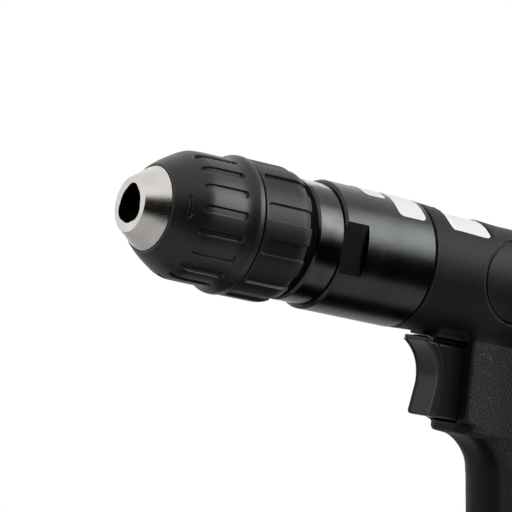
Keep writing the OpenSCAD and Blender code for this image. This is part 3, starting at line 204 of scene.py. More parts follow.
black_cloth = cloth_finish("black_cloth", (0.004, 0.004, 0.004), (0.008, 0.008, 0.008))
grey_cloth = cloth_finish("grey_cloth", (0.04, 0.04, 0.03), (0.06, 0.06, 0.05))
cloth_gap, wall_y, wall_top, grey_top = 0.002, 0.95, 0.45, 0.75
cloth_z = floor_z + cloth_gap
for name, back, front, near, far in (("cloth_wall", -1.6, 2.0, (wall_y, cloth_z), (wall_y, wall_top)),
                                     ("cloth_before", -1.6, 0.05, (0.16, cloth_z), (wall_y, cloth_z)),
                                     ("cloth_under", -1.6, 0.0, (-0.07, cloth_z), (0.027, cloth_z)),
                                     ("cloth_ahead", 0.05, 2.0, (0.21, cloth_z), (wall_y, cloth_z)),
                                     ("cloth_top", 0.15, 2.0, (wall_y, wall_top), (wall_y, grey_top))):
    cloth = mesh_object(name, [(back, *near), (front, *near), (front, *far), (back, *far)], [(0, 1, 2, 3)],
                        grey_cloth if name == "cloth_top" else black_cloth)
    for hidden_from in ("visible_camera", "visible_diffuse", "visible_shadow", "visible_transmission"):
        setattr(cloth, hidden_from, False)
lit_spot = (-0.07, 0, 0)
softbox("softbox", (-0.59, 0.523, 0.514), lit_spot, 1.0, 0.70, 5.5)
softbox("softbox_core", (-0.58, 0.49, 0.516), lit_spot, 0.75, 0.35, 1.8)


# Chuck body with its screw and the three jaws: bright steel, turned, bored and hardened. The nose cone is
# polished with fine rings from the lathe; the jaws are dark ground rods that slide in slanting bores.
mm = 0.001


def along_axis(wire):
    """Place along the spindle in mm behind the nose, and distance from its axis in mm."""
    spot = wire.node("TexCoord", output="Object")
    x, y, z = (wire.node("SeparateXYZ", {}, {0: spot}, axis) for axis in "XYZ")
    return x * (-1 / mm), wire.math("SQRT", y * y + z * z) * (1 / mm), spot


def turned_steel(name, dark, light, metallic, rough, ring_depth, bore=0, mouth=0, tail=1000):
    """Steel with fine lathe rings in its gloss and height, and painted shade: black inside a bore and behind a
    shoulder.
    """
    # black is the colour of the painted shade
    black = (0.012, 0.012, 0.012, 1)

    def varying(wire):
        at, radius, spot = along_axis(wire)
        rings = wire.node("TexNoise", {"noise_dimensions": "1D"}, {"W": (at + radius * 0.7) * 9, "Detail": 4})
        stain = wire.node("TexNoise", {}, {"Vector": spot, "Scale": 160, "Detail": 3})
        skin = (rings * 0.5 + stain * 0.5).between(0.3, 0.7).mix((*dark, 1), (*light, 1))
        # Painted shade: black inside the bore past its mouth, and behind the shoulder at the tail
        outside_painted_shade = wire.math("MAXIMUM", radius.between(bore, bore + 0.12), 1 - at.between(mouth, mouth + 0.4))
        outside_painted_shade = outside_painted_shade * (1 - at.between(tail, tail + 0.2))
        return {
            "Base Color": outside_painted_shade.mix(black, skin),
            "Roughness": rough + (rings - 0.5) * 0.12 + (stain - 0.5) * 0.10,
            "Normal": wire.node("Bump", {}, {"Strength": 0.35, "Distance": ring_depth * mm, "Height": rings}),
        }
    return finish(name, {"Metallic": metallic}, varying)


def dress(material, *names):
    """Gives CAD nodes their finish, smooth where their faces meet at a small angle."""
    for name in names:
        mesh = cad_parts[name].data
        mesh.materials.clear()
        mesh.materials.append(material)
        mesh.polygons.foreach_set("use_smooth", np.ones(len(mesh.polygons), dtype=bool))
        crease = radians(32)
        mesh.set_sharp_from_angle(angle=crease)


# The chuck body gets painted shade inside its bore past 0.8 mm and behind 8 mm from the nose
bright_turned = turned_steel("bright_turned_steel", (0.56, 0.54, 0.51), (0.74, 0.71, 0.68), 1, 0.20, 0.03,
                             bore=5.42, mouth=0.8, tail=8)
ground_rod = turned_steel("ground_jaw_steel", (0.05, 0.05, 0.05), (0.09, 0.09, 0.09), 1, 0.38, 0.02)
dress(bright_turned, "chuck_body")
dress(ground_rod, "jaw_1", "jaw_2", "jaw_3", "chuck_screw")


# Turning sleeve: moulded glass-filled nylon, matt charcoal, with eighteen finger slots round its grip, a
# smooth sweep up to the band behind them and a double arrow sunk in its cone. It is pressed on the jaw nut.
def outline(corners, step):
    """Points a step apart along (at, radius, rounding) corners."""
    path = []
    for i, (at, radius, soft) in enumerate(corners):
        here = np.array((at, radius), dtype=float)
        if soft == 0:
            path.append(here)
            continue
        before, after = (np.array(corners[i + side][:2]) - here for side in (-1, 1))
        first, last = (here + way * min(soft / np.linalg.norm(way), 0.5) for way in (before, after))
        for t in np.linspace(0, 1, 7):
            path.append((1 - t) ** 2 * first + 2 * t * (1 - t) * here + t ** 2 * last)
    points = []
    for start, end in zip(path, path[1:]):
        count = max(1, int(np.ceil(np.linalg.norm(end - start) / step)))
        points += [start + (end - start) * k / count for k in range(count)]
    return np.array(points + [path[-1]])


def turned_piece(name, outside, inside, turns, relief, material):
    """Closed skin round the spindle's axis; relief changes the outside's radius by place and angle."""
    line = np.vstack((outside, inside))
    angle = np.arange(turns) * 2 * np.pi / turns
    at = np.repeat(line[:, :1], turns, 1)
    radius = np.repeat(line[:, 1:], turns, 1)
    skin = len(outside)
    radius[:skin] = relief(at[:skin], radius[:skin], angle)
    spots = np.stack((-at, radius * np.sin(angle), radius * np.cos(angle)), -1).reshape(-1, 3) * mm
    row, column = np.meshgrid(np.arange(len(line)), np.arange(turns), indexing="ij")
    next_row, next_column = (row + 1) % len(line), (column + 1) % turns
    faces = np.stack((row * turns + column, row * turns + next_column, next_row * turns + next_column,
                      next_row * turns + column), -1).reshape(-1, 4).tolist()
    made = mesh_object(name, spots, faces, material)
    mark_edges(made.data, 6)
    return made


def mark_edges(mesh, spread):
    """Stores how convex the mesh is at each corner, from 0 to 1, as the attribute edge."""
    count = len(mesh.vertices)
    spots, normals = np.empty(count * 3), np.empty(count * 3)
    mesh.vertices.foreach_get("co", spots)
    mesh.vertices.foreach_get("normal", normals)
    spots, normals = spots.reshape(-1, 3), normals.reshape(-1, 3)
    ends = np.empty(len(mesh.edges) * 2, dtype=int)
    mesh.edges.foreach_get("vertices", ends)
    a, b = ends.reshape(-1, 2).T
    way = spots[b] - spots[a]
    length = np.maximum((way ** 2).sum(1), 1e-12)
    met = np.maximum(np.bincount(a, minlength=count) + np.bincount(b, minlength=count), 1)
    bend = np.bincount(a, -(normals[a] * way).sum(1) / length, count)
    bend = (bend + np.bincount(b, (normals[b] * way).sum(1) / length, count)) / met
    sharp_bend, gain = 0.8, 1.6
    edge = np.clip(bend * mm / sharp_bend, 0, 1)
    for _ in range(spread):
        edge = 0.4 * edge + 0.6 * (np.bincount(a, edge[b], count) + np.bincount(b, edge[a], count)) / met
    mesh.attributes.new("edge", "FLOAT", "POINT").data.foreach_set("value", np.clip(edge * gain, 0, 1))


def moulded(name, dark, light, worn, shine, rough, grain, grain_depth):
    """Moulded plastic: a fine spark-eroded grain, a faint mottle, and rubbed edges that shine a little."""
    def varying(wire):
        spot = wire.node("TexCoord", output="Object")
        fine = wire.node("TexNoise", {}, {"Vector": spot, "Scale": grain, "Detail": 3, "Roughness": 0.6})
        mottle = wire.node("TexNoise", {}, {"Vector": spot, "Scale": 90, "Detail": 3})
        edge = wire.node("Attribute", {"attribute_name": "edge"}, output="Fac")
        rubbed = (edge * (0.6 + mottle * 0.8)).between(0.15, 0.75)
        body = (mottle * 0.6 + fine * 0.4).between(0.35, 0.65).mix((*dark, 1), (*light, 1))
        return {
            "Base Color": rubbed.mix(body, (*worn, 1)),
            "Roughness": rough + (fine - 0.5) * 0.16 - rubbed * 0.14,
            "Normal": wire.node("Bump", {}, {"Strength": 0.5, "Distance": grain_depth * mm, "Height": fine}),
        }
    return finish(name, {"Specular IOR Level": shine}, varying)


def smooth(value):
    """0 below 0, 1 above 1 and a smooth step in between."""
    value = np.clip(value, 0, 1)
    return value * value * (3 - 2 * value)


slot_count, slot_turn, slot_w, slot_from, slot_to = 18, radians(3), 2.4, 13.3, 27.5
slot_depth, slot_edge, edge_shift = 0.75, 0.34, 0.12
arrow_at, arrow_turn, arrow_half, arrow_head, arrow_depth = 10.3, radians(83), 3.5, 1.3, 0.6
shaft_half_w, arrow_edge = 0.2, 0.18


def sleeve_relief(at, radius, angle):
    """Radius with the finger slots and the double arrow sunk in it."""
    pitch = 2 * np.pi / slot_count
    across = ((angle - slot_turn + pitch / 2) % pitch - pitch / 2) * radius
    beyond = np.maximum(np.abs(at - (slot_from + slot_to) / 2) - (slot_to - slot_from - slot_w) / 2, 0)
    inside = slot_w / 2 - np.hypot(across, beyond)
    # The double arrow, once on each side
    along = np.abs((angle - arrow_turn + np.pi / 2) % np.pi - np.pi / 2) * radius
    aside = np.abs(at - arrow_at)
    shaft = np.maximum(aside - shaft_half_w, along - arrow_half + arrow_head)
    head = np.maximum(0.85 * aside - 0.5 * (arrow_half - along), arrow_half - arrow_head - along)
    arrow = arrow_depth * smooth(0.5 - np.minimum(shaft, head) / arrow_edge)
    return radius - slot_depth * smooth(inside / slot_edge + edge_shift) - arrow


sleeve_nylon = moulded("charcoal_nylon", (0.005, 0.005, 0.005), (0.009, 0.009, 0.009), (0.020, 0.020, 0.020),
                       0.46, 0.36, 2000, 0.07)
sleeve_outside = outline([
    (6.3, 12.3, 0), (6.3, 12.7, 0.15), (8.6, 14.5, 2.5), (12.5, 16.8, 3), (15.4, 18.3, 2.5), (18.5, 18.5, 2),
    (27.5, 18.5, 1.8), (30.2, 19.9, 1.3), (30.8, 20.0, 0.3), (31.75, 20.0, 0.1), (31.9, 19.85, 0.1),
    (31.9, 19.0, 0),
], 0.18)
sleeve_inside = np.array([(31.9, 16.6), (17.2, 16.6), (9.3, 12.25), (6.3, 12.25)])
turning_sleeve = turned_piece("turning_sleeve", sleeve_outside, sleeve_inside, 900, sleeve_relief,
                              sleeve_nylon)
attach(turning_sleeve, "front_sleeve")
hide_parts("front_sleeve")


# Fixed sleeve: a more matt nylon, pressed on the chuck's tail, with twelve broad flutes that run out at its
# tapered back edge. A hard black ring behind it closes the chuck.
flute_count, flute_turn, flute_w, flute_from = 12, radians(13.7), 5.0, 33.2
flute_depth, flute_corner, flute_edge = 0.75, 1.6, 0.4


def back_flutes(at, radius, angle):
    """Radius with the flutes sunk in it."""
    pitch = 2 * np.pi / flute_count
    across = ((angle - flute_turn + pitch / 2) % pitch - pitch / 2) * radius
    beside = np.maximum(np.abs(across) - flute_w / 2 + flute_corner, 0)
    before = np.maximum(flute_from + flute_corner - at, 0)
    inside = flute_corner - np.hypot(beside, before)
    return radius - flute_depth * smooth(inside / flute_edge + edge_shift)


def plain(at, radius, angle):
    return radius


fixed_nylon = moulded("matt_charcoal_nylon", (0.005, 0.005, 0.005), (0.009, 0.009, 0.009),
                      (0.012, 0.012, 0.012), 0.24, 0.38, 2000, 0.07)
fixed_outside = outline([
    (32.5, 18.9, 0), (32.5, 19.55, 0.1), (32.65, 19.7, 0.1), (46.3, 19.7, 1.5), (48.8, 18.7, 0.3),
    (49.0, 18.5, 0.1), (49.0, 17.9, 0),
], 0.25)
fixed_inside = np.array([(49.0, 17.42), (32.5, 17.42)])
fixed_sleeve = turned_piece("fixed_sleeve", fixed_outside, fixed_inside, 720, back_flutes, fixed_nylon)
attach(fixed_sleeve, "spindle")
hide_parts("rear_sleeve")

ring_rubber = moulded("hard_black_ring", (0.001, 0.001, 0.001), (0.002, 0.002, 0.002), (0.003, 0.003, 0.003),
                      0.02, 0.7, 1800, 0.03)
closing_ring = turned_piece("closing_ring", outline([
    (49.2, 17.5, 0), (49.2, 17.75, 0.2), (51.3, 17.75, 0.2), (51.3, 17.5, 0)], 0.2),
    np.array([(51.3, 17.42), (49.2, 17.42)]), 256, plain, ring_rubber)
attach(closing_ring, "spindle")
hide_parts("chuck_rear_ring")


# Bearing cap and gear case: turned steel with a black oxide finish, oiled and glossy. The cap is pressed
# in front of the spindle's bearing and painted bright on top as a painted highlight; the case has two
# spanner flats and screws on the housing's front, over a thick black gasket.
def oxide_steel(name, dark, light, rough, painted_highlight_from):
    """Black oxide over lathe rings, with a painted highlight on top: bright steel colour above a height in mm.
    """
    painted_highlight_steel = (0.60, 0.59, 0.57, 1)

    def varying(wire):
        at, _, spot = along_axis(wire)
        rings = wire.node("TexNoise", {"noise_dimensions": "1D"}, {"W": at * 6, "Detail": 5})
        cloud = wire.node("TexNoise", {}, {"Vector": spot, "Scale": 120, "Detail": 4})
        height = wire.node("SeparateXYZ", {}, {0: spot}, "Z") * (1 / mm) + (rings + cloud - 1) * 3
        oxide = (cloud * 0.6 + rings * 0.4).between(0.3, 0.7).mix((*dark, 1), (*light, 1))
        return {
            # Painted highlight: above the given height the oxide turns to a bright steel colour
            "Base Color": height.between(painted_highlight_from, painted_highlight_from + 1.5).mix(oxide, painted_highlight_steel),
            "Roughness": rough + (rings - 0.5) * 0.10 + (cloud - 0.5) * 0.12,
            "Normal": wire.node("Bump", {}, {"Strength": 0.25, "Distance": 0.02 * mm, "Height": rings}),
        }
    return finish(name, {"Metallic": 1}, varying)


# The cap gets the painted highlight above 15.5 mm; the case's 100 mm is above its top, so it gets none
cap_oxide = oxide_steel("oxide_cap_steel", (0.034, 0.036, 0.036), (0.080, 0.081, 0.078), 0.20, 15.5)
case_oxide = oxide_steel("oxide_case_steel", (0.038, 0.040, 0.041), (0.050, 0.052, 0.053), 0.24, 100)
dress(cap_oxide, "bearing_cap")
dress(case_oxide, "gear_case")

gasket_line = turned_piece("gasket_line", outline([
    (92.15, 17.6, 0), (92.15, 18.5, 0.15), (93.2, 18.5, 0.15), (93.2, 17.6, 0)], 0.2),
    np.array([(93.2, 16.65), (92.15, 16.65)]), 256, plain, ring_rubber)
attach(gasket_line, "housing")
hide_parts("joint_gasket")


# Housing: one moulding of glass-filled composite, matt black with a fine sparked texture: the motor's
# tapered barrel and domed back, the block round the trigger, and the grip, both with a leather grain.
def rounded(distances, radius):
    """Inside of several faces at once, with that radius on the edges between them."""
    grown = [distance + radius for distance in distances]
    outside = np.sqrt(sum(np.maximum(distance, 0) ** 2 for distance in grown))
    return outside + np.minimum(reduce(np.maximum, grown), 0) - radius


def joined(first, second, fillet):
    """Two solids in one, with a fillet where they meet."""
    near = np.maximum(fillet - np.abs(first - second), 0)
    return np.minimum(first, second) - near * near / (4 * fillet)


def cut(solid, tool, edge):
    """A solid without what a tool takes out, with that rounding on the edge."""
    return -joined(-solid, tool, edge)


def field_skin(field, low, high, step):
    """Quads over the surface where a field of signed distances is zero, in mm."""
    axes = [np.arange(first, last + step, step) for first, last in zip(low, high)]
    counts = [len(places) for places in axes]
    values = np.broadcast_to(field(*np.meshgrid(*axes, indexing="ij", sparse=True)), counts)
    cells = tuple(size - 1 for size in values.shape)
    total = np.zeros((3, np.prod(cells)))
    count = np.zeros(np.prod(cells))
    quads = []
    for axis in range(3):
        side, other = (axis + 1) % 3, (axis + 2) % 3
        lower = [slice(None)] * 3
        upper = [slice(None)] * 3
        lower[axis], upper[axis] = slice(None, -1), slice(1, None)
        start, end = values[tuple(lower)], values[tuple(upper)]
        found = np.argwhere((start < 0) != (end < 0))
        found = found[(found[:, side] > 0) & (found[:, other] > 0)
                      & (found[:, side] < cells[side]) & (found[:, other] < cells[other])]
        before, after = start[tuple(found.T)], end[tuple(found.T)]
        crossing = found.astype(float)
        crossing[:, axis] += before / (before - after)
        ring = []
        for move_side, move_other in ((0, 0), (-1, 0), (-1, -1), (0, -1)):
            cell = found.copy()
            cell[:, side] += move_side
            cell[:, other] += move_other
            flat = np.ravel_multi_index(cell.T, cells)
            ring.append(flat)
            count += np.bincount(flat, minlength=len(count))
            for k in range(3):
                total[k] += np.bincount(flat, crossing[:, k], len(count))
        ring = np.stack(ring, 1)
        quads.append(np.where((before < 0)[:, None], ring, ring[:, ::-1]))
    used = count > 0
    number = np.cumsum(used) - 1
    spots = (total[:, used] / count[used]).T * step + np.array(low)
    # Each corner moves down the field's slope onto the surface
    reach, longest, passes = 0.2 * step, 0.4 * step, 3
    for _ in range(passes):
        here = field(*spots.T)
        slope = np.stack([field(*(spots + reach * unit).T) - field(*(spots - reach * unit).T)
                          for unit in np.eye(3)], 1) / (2 * reach)
        size = np.maximum((slope ** 2).sum(1), 0.25)
        spots = spots - slope * np.clip(here / size, -longest, longest)[:, None]
    return spots, number[np.vstack(quads)]


def shaped_piece(name, field, low, high, step, material):
    """Piece whose skin is where a field is zero, inside a box in mm."""
    spots, faces = field_skin(field, low, high, step)
    made = mesh_object(name, spots * mm, faces.tolist(), material)
    mark_edges(made.data, 4)
    return made


rake = radians(13)
grip_at = 139.7
barrel_r, barrel_taper, taper_end, taper_len = 17.2, 1.55, 124.1, 31
ramp_at, ramp_len, ramp_height = 99.2, 4.0, 1.25
badge_at, badge_z, pivot_at = 130.3, 1.2, 138


def in_grip(x, z):
    """Forwards across the grip and up along it."""
    return (x + grip_at) * cos(rake) - z * sin(rake), (x + grip_at) * sin(rake) + z * cos(rake)


def barrel_radius(at):
    """Radius of the barrel: it tapers from the gear case back."""
    return barrel_r + barrel_taper * np.clip((taper_end - at) / taper_len, 0, 1)


def label_floor(at):
    """Radius of the label's seat: a ramp leads down to it from the front."""
    return barrel_r + ramp_height * (1 - smooth((at - ramp_at) / ramp_len))


def housing_shape(x, y, z):
    """Field of the housing: the outside first, then what is cut out of it."""
    at, wide = -x, np.abs(y)
    away = np.sqrt(y * y + z * z)
    across, up = in_grip(x, z)
    # The tapered barrel with its domed back
    dome_at, dome_len, dome_power, front_at = 148, 18, 2.4, 93.25
    tail = np.maximum(at - dome_at, 0)
    slim = np.maximum(away - barrel_radius(at) + barrel_r, 0)
    barrel = (slim / barrel_r) ** dome_power + (tail / dome_len) ** dome_power
    barrel = barrel ** (1 / dome_power) * barrel_r - barrel_r
    barrel = rounded((barrel, front_at - at), 0.25)
    # The block round the trigger, with a rounder lip under it
    block_front, block_lean, block_drop, lean_cos, block_half_w = 115.2, 4.4, 45.5, 0.995, 11.3
    block_low, block_back, block_top, block_edge, low_edge = -45.7, 157, 5, 0.8, 1.4
    lip_z, lip_len, lip_corner = -41.6, 1.6, 6.4
    corner = block_edge + lip_corner * smooth((lip_z - z) / lip_len)
    block = rounded(((block_front - block_lean * z / block_drop - at) * lean_cos, wide - block_half_w), corner)
    saddle = rounded((rounded((block, block_low - z), low_edge), at - block_back, z - block_top), block_edge)
    # The grip
    half_depth, half_w, grip_corner, grip_low, grip_top, grip_edge = 17.75, 15, 14.3, -111, -4, 1.5
    grip = rounded((np.abs(across) - half_depth, wide - half_w), grip_corner)
    grip = rounded((grip, grip_low - up, up - grip_top), grip_edge)
    # The finger curve between the block and the grip, as wide as each where it meets them
    curve_x, curve_z, curve_r, curve_drop = -121.3, -59.4, 13.7, 10.6
    web_half_w, web_spread, web_corner, corner_spread = 11.2, 3.8, 7, 7.3
    web_back, web_top, web_low = -150, -44, -56.4
    hollow = np.sqrt((x - curve_x) ** 2 + (z - curve_z) ** 2)
    lower = smooth((block_low - z) / curve_drop)
    web = rounded((curve_r - hollow, wide - web_half_w - web_spread * lower),
                  web_corner + corner_spread * lower)
    web = rounded((web, x - curve_x, web_back - x, z - web_top, web_low - z), 0.3)
    block_fillet, grip_fillet, web_fillet = 3.5, 5, 0.6
    solid = joined(joined(joined(barrel, saddle, block_fillet), grip, grip_fillet), web, web_fillet)
    # The rib under the barrel, above the reverse lever
    rib_front, rib_back, rib_half_w, rib_low, rib_top = 106.6, 120, 7.5, -19.05, -14
    rib = rounded((rib_front - at, wide - rib_half_w, rib_low - z, at - rib_back, z - rib_top), 0.5)
    solid = joined(solid, rib, 1.5)
    # Bores for the gear case and the motor
    case_bore_r, case_bore_end, motor_bore_r, motor_bore_end = 16.65, 99.3, 15.36, 153.1
    solid = cut(solid, np.maximum(away - case_bore_r, at - case_bore_end), 0.3)
    solid = cut(solid, np.maximum(away - motor_bore_r, at - motor_bore_end), 0.2)
    # Pocket of the trigger, bore of the throttle
    pocket_back, pocket_half_w, pocket_top, pocket_low = 130.4, 6.3, -20.5, -42.6
    throttle_z, throttle_r, throttle_from, throttle_to = -31.5, 5.02, 128, 157.2
    pocket = rounded((at - pocket_back, wide - pocket_half_w, z - pocket_top, pocket_low - z), 0.4)
    solid = cut(solid, pocket, 0.7)
    throttle = np.sqrt(y * y + (z - throttle_z) ** 2)
    solid = cut(solid, rounded((throttle - throttle_r, at - throttle_to, throttle_from - at), 0.1), 0.2)
    # Room in which the reverse lever swings, with the bores for its pivot and its valve
    room_half_w, room_spread, spread_cos, room_r = 5.5, 0.115, 0.993, 5.8
    room_z, room_half_h, room_front = -19.75, 0.95, 104
    pivot_r, pivot_z, pivot_half_h = 2.55, -22.6, 2.1
    valve_r, valve_z, valve_half_h = 5.92, -17.85, 1.35
    pivot = np.sqrt((x + pivot_at) ** 2 + y * y)
    fan = (wide - room_half_w - (pivot_at - at) * room_spread) * spread_cos
    room = np.minimum(pivot - room_r, np.maximum(fan, at - pivot_at))
    room = np.maximum(np.maximum(room, np.abs(z - room_z) - room_half_h), room_front - at)
    solid = cut(solid, room, 0.3)
    solid = cut(solid, np.maximum(pivot - pivot_r, np.abs(z - pivot_z) - pivot_half_h), 0.1)
    solid = cut(solid, np.maximum(pivot - valve_r, np.abs(z - valve_z) - valve_half_h), 0.1)
    # Exhaust room at the grip's foot and the bore for the inlet; the ways above them are in CAD only
    exhaust_r, exhaust_top, inlet_r, inlet_top = 12.4, -87, 7.52, -72.8
    core = np.sqrt(across * across + y * y)
    solid = cut(solid, np.maximum(core - exhaust_r, up - exhaust_top), 0.3)
    solid = cut(solid, np.maximum(core - inlet_r, up - inlet_top), 0.1)
    # Pockets of the side badges, and the seat of the label on top
    oval_half_len, oval_half_h, oval_depth = 18.2, 12.8, 0.6
    seat_angle, seat_from, seat_to, seat_corner = radians(47), 98.9, 116.2, 2
    oval = np.sqrt(((at - badge_at) / oval_half_len) ** 2 + ((z - badge_z) / oval_half_h) ** 2)
    oval = (oval - 1) * oval_half_h
    solid = cut(solid, np.maximum(oval, barrel_radius(at) - oval_depth - away), 0.2)
    sideways = (np.arctan2(np.abs(y), z) - seat_angle) * barrel_r
    seat = rounded((sideways, at - seat_to, seat_from - at), seat_corner)
    return cut(solid, np.maximum(label_floor(at) - away, seat), 0.3)


def grained_composite(name):
    """The moulding's fine texture, with a leather grain beside the trigger and on the grip's sides, painted
    lighter there as a painted sheen.
    """
    def varying(wire):
        spot = wire.node("TexCoord", output="Object")
        y, z = (wire.node("SeparateXYZ", {}, {0: spot}, axis) for axis in "YZ")
        fine = wire.node("TexNoise", {}, {"Vector": spot, "Scale": 1600, "Detail": 3, "Roughness": 0.6})
        mottle = wire.node("TexNoise", {}, {"Vector": spot, "Scale": 70, "Detail": 4})
        edge = wire.node("Attribute", {"attribute_name": "edge"}, output="Fac")
        cell = wire.node("TexVoronoi", {"feature": "DISTANCE_TO_EDGE"}, {"Vector": spot, "Scale": 1150},
                         "Distance")
        low, high = -44.8 * mm, -18.4 * mm
        cheek = z.between(low - 0.6 * mm, low + 1.2 * mm) * (1 - z.between(high, high + 0.4 * mm))
        aside = wire.math("ABSOLUTE", y)
        cheek = cheek * aside.between(9.8 * mm, 10.4 * mm)
        grip_side = aside.between(7.8 * mm, 9.4 * mm) * (1 - z.between(-46 * mm, -44 * mm))
        cheek = wire.math("MAXIMUM", cheek, grip_side)
        rubbed = (edge * (0.5 + mottle)).between(0.2, 0.8)
        dark, light = (0.0035, 0.0035, 0.0035, 1), (0.0065, 0.0065, 0.0065, 1)
        body = (mottle * 0.6 + fine * 0.4).between(0.35, 0.65).mix(dark, light)
        # Painted sheen: the leather-grain panels get a lighter grey that stands in for the sheen of their
        # glossier grain
        body = cheek.mix(body, (0.029, 0.029, 0.029, 1))
        leather = cheek * cell.between(0.0, 0.2)
        height = fine * 0.7 + leather * 2.4
        return {
            "Base Color": rubbed.mix(body, (0.024, 0.024, 0.024, 1)),
            "Roughness": 0.50 + (fine - 0.5) * 0.18 - rubbed * 0.12 - leather * 0.10,
            "Normal": wire.node("Bump", {}, {"Strength": 0.9, "Distance": 0.16 * mm, "Height": height}),
        }
    return finish(name, {"Specular IOR Level": 0.16}, varying)


housing_composite = grained_composite("black_composite")
housing_moulding = shaped_piece("housing_moulding", housing_shape, (-184, -20.5, -116), (-91, 20.5, 20.5),
                                0.5, housing_composite)
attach(housing_moulding, "housing")
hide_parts("housing")


# Labels: three pieces of white printed film with rounded corners, stuck on top of the gear case and the
# housing. They are left blank here.
def ringed(name, rings, material):
    """Closed skin over rings of corners in mm, each with the same count, and a flat cap at both ends."""
    size = len(rings[0])
    faces = []
    for row in range(len(rings) - 1):
        here, after = row * size, (row + 1) * size
        faces += [(here + k, here + (k + 1) % size, after + (k + 1) % size, after + k) for k in range(size)]
    faces += [tuple(range(size - 1, -1, -1)), tuple(range((len(rings) - 1) * size, len(rings) * size))]
    return mesh_object(name, np.vstack(rings) * mm, faces, material)


film_t, film_gap, film_corner = 0.12, 0.02, 1.8


def film_patch(name, surface, start, length, half_angle, corner, material):
    """Rounded rectangle of film laid round the barrel; surface gives the radius under it."""
    half_len, half_arc = length / 2, radians(half_angle) * surface(start + length / 2)
    turn = np.linspace(0, np.pi / 2, 9)
    quarter = np.stack((half_len - corner + corner * np.cos(turn),
                        half_arc - corner + corner * np.sin(turn)), 1)
    rim = np.vstack((quarter, (quarter * (-1, 1))[::-1], quarter * (-1, -1), (quarter * (1, -1))[::-1]))
    splits = 8
    rim = np.vstack([here + (there - here) * k / splits
                     for here, there in zip(rim, np.roll(rim, -1, 0)) for k in range(splits)])
    shares = [*np.linspace(0.04, 0.97, 22), 0.99, 1.0]
    layers = [(share, film_t if share < 1 else 0.7 * film_t) for share in shares]
    layers += [(share, 0) for share in shares[::-1]]
    rings = []
    for share, lift in layers:
        at = start + half_len + rim[::-1, 0] * share
        angle = rim[::-1, 1] * share / surface(start + half_len)
        radius = surface(at) + film_gap + lift
        rings.append(np.stack((-at, radius * np.sin(angle), radius * np.cos(angle)), 1))
    return ringed(name, rings, material)


def case_radius(at):
    """Radius of the gear case, the same at every place."""
    case_r = 18.9
    return case_r + 0 * at


def film_look(wire):
    spot = wire.node("TexCoord", output="Object")
    fibre = wire.node("TexNoise", {}, {"Vector": spot, "Scale": 1500, "Detail": 3})
    smudge = wire.node("TexNoise", {}, {"Vector": spot, "Scale": 130, "Detail": 4})
    return {
        "Base Color": smudge.between(0.3, 0.75).mix((0.88, 0.88, 0.87, 1), (0.82, 0.82, 0.80, 1)),
        "Roughness": 0.36 + (fibre - 0.5) * 0.2 + (smudge - 0.5) * 0.2,
        "Normal": wire.node("Bump", {}, {"Strength": 0.15, "Distance": 0.02 * mm, "Height": fibre}),
    }


white_film = finish("white_label_film", {}, film_look)
for name, surface, start, length, half_angle in (("small_label", case_radius, 71.0, 7.6, 28),
                                                 ("case_label", case_radius, 80.6, 9.8, 48),
                                                 ("housing_label", label_floor, 99.8, 15.9, 45.5)):
    film = film_patch(name.replace("label", "film"), surface, start, length, half_angle, film_corner,
                      white_film)
    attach(film, "housing")
    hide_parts(name)


# Side badges: oval plates of the housing's composite, pressed into pockets on both sides of the barrel so
# that only the joint shows as a dark line. They carry no words here.
def badge_plate(name, side, material):
    """Oval plate that follows the barrel, with a rounded rim; side is 1 on the left and -1 on the right."""
    half_len, half_h, plate_t, seat_depth = 17.5, 12.1, 0.45, 0.58
    turn = np.linspace(0, 2 * np.pi, 161)[:-1] * side
    layers = [(share, plate_t) for share in np.linspace(0.03, 0.97, 24)]
    layers += [(0.985, 0.43), (0.996, 0.36), (1.0, 0.26)]
    layers += [(share, 0.0) for share in (1.0, 0.8, 0.6, 0.4, 0.2, 0.03)]
    rings = []
    for share, lift in layers:
        at = badge_at - share * half_len * np.cos(turn)
        z = badge_z + share * half_h * np.sin(turn)
        height = barrel_radius(at) - seat_depth + lift
        rings.append(np.stack((-at, side * np.sqrt(height ** 2 - z ** 2), z), 1))
    made = ringed(name, rings, material)
    mark_edges(made.data, 1)
    return made


badge_satin = moulded("satin_badge_plastic", (0.004, 0.004, 0.004), (0.007, 0.007, 0.007), (0.02, 0.02, 0.02),
                      0.16, 0.48, 2200, 0.06)
for name, side in (("left_badge", 1), ("right_badge", -1)):
    plate = badge_plate(name + "_plate", side, badge_satin)
    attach(plate, "housing")
    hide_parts(name)


# Trigger: a satin black moulding with a hollow paddle in front and a narrower block behind it, pinned to
# the throttle's stem and guided by the pocket.
trigger_top, trigger_low, foot_x = -20.65, -42.3, -109.4
tip, bend, middle = (-102.9, trigger_top), (-110.3, -24.6), (-110.3, -33.1)
sweep = np.linspace(0, 1, 60)
front_x, front_z = ((1 - sweep) ** 2 * tip[k] + 2 * sweep * (1 - sweep) * bend[k] + sweep ** 2 * middle[k]
                    for k in range(2))
front_x, front_z = np.append(front_x, foot_x), np.append(front_z, trigger_low)
pin_low, pin_high = (np.array(corner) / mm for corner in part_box("trigger_pin"))
pin_middle = (pin_low + pin_high) / 2
stem_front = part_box("throttle_stem")[1][0] / mm


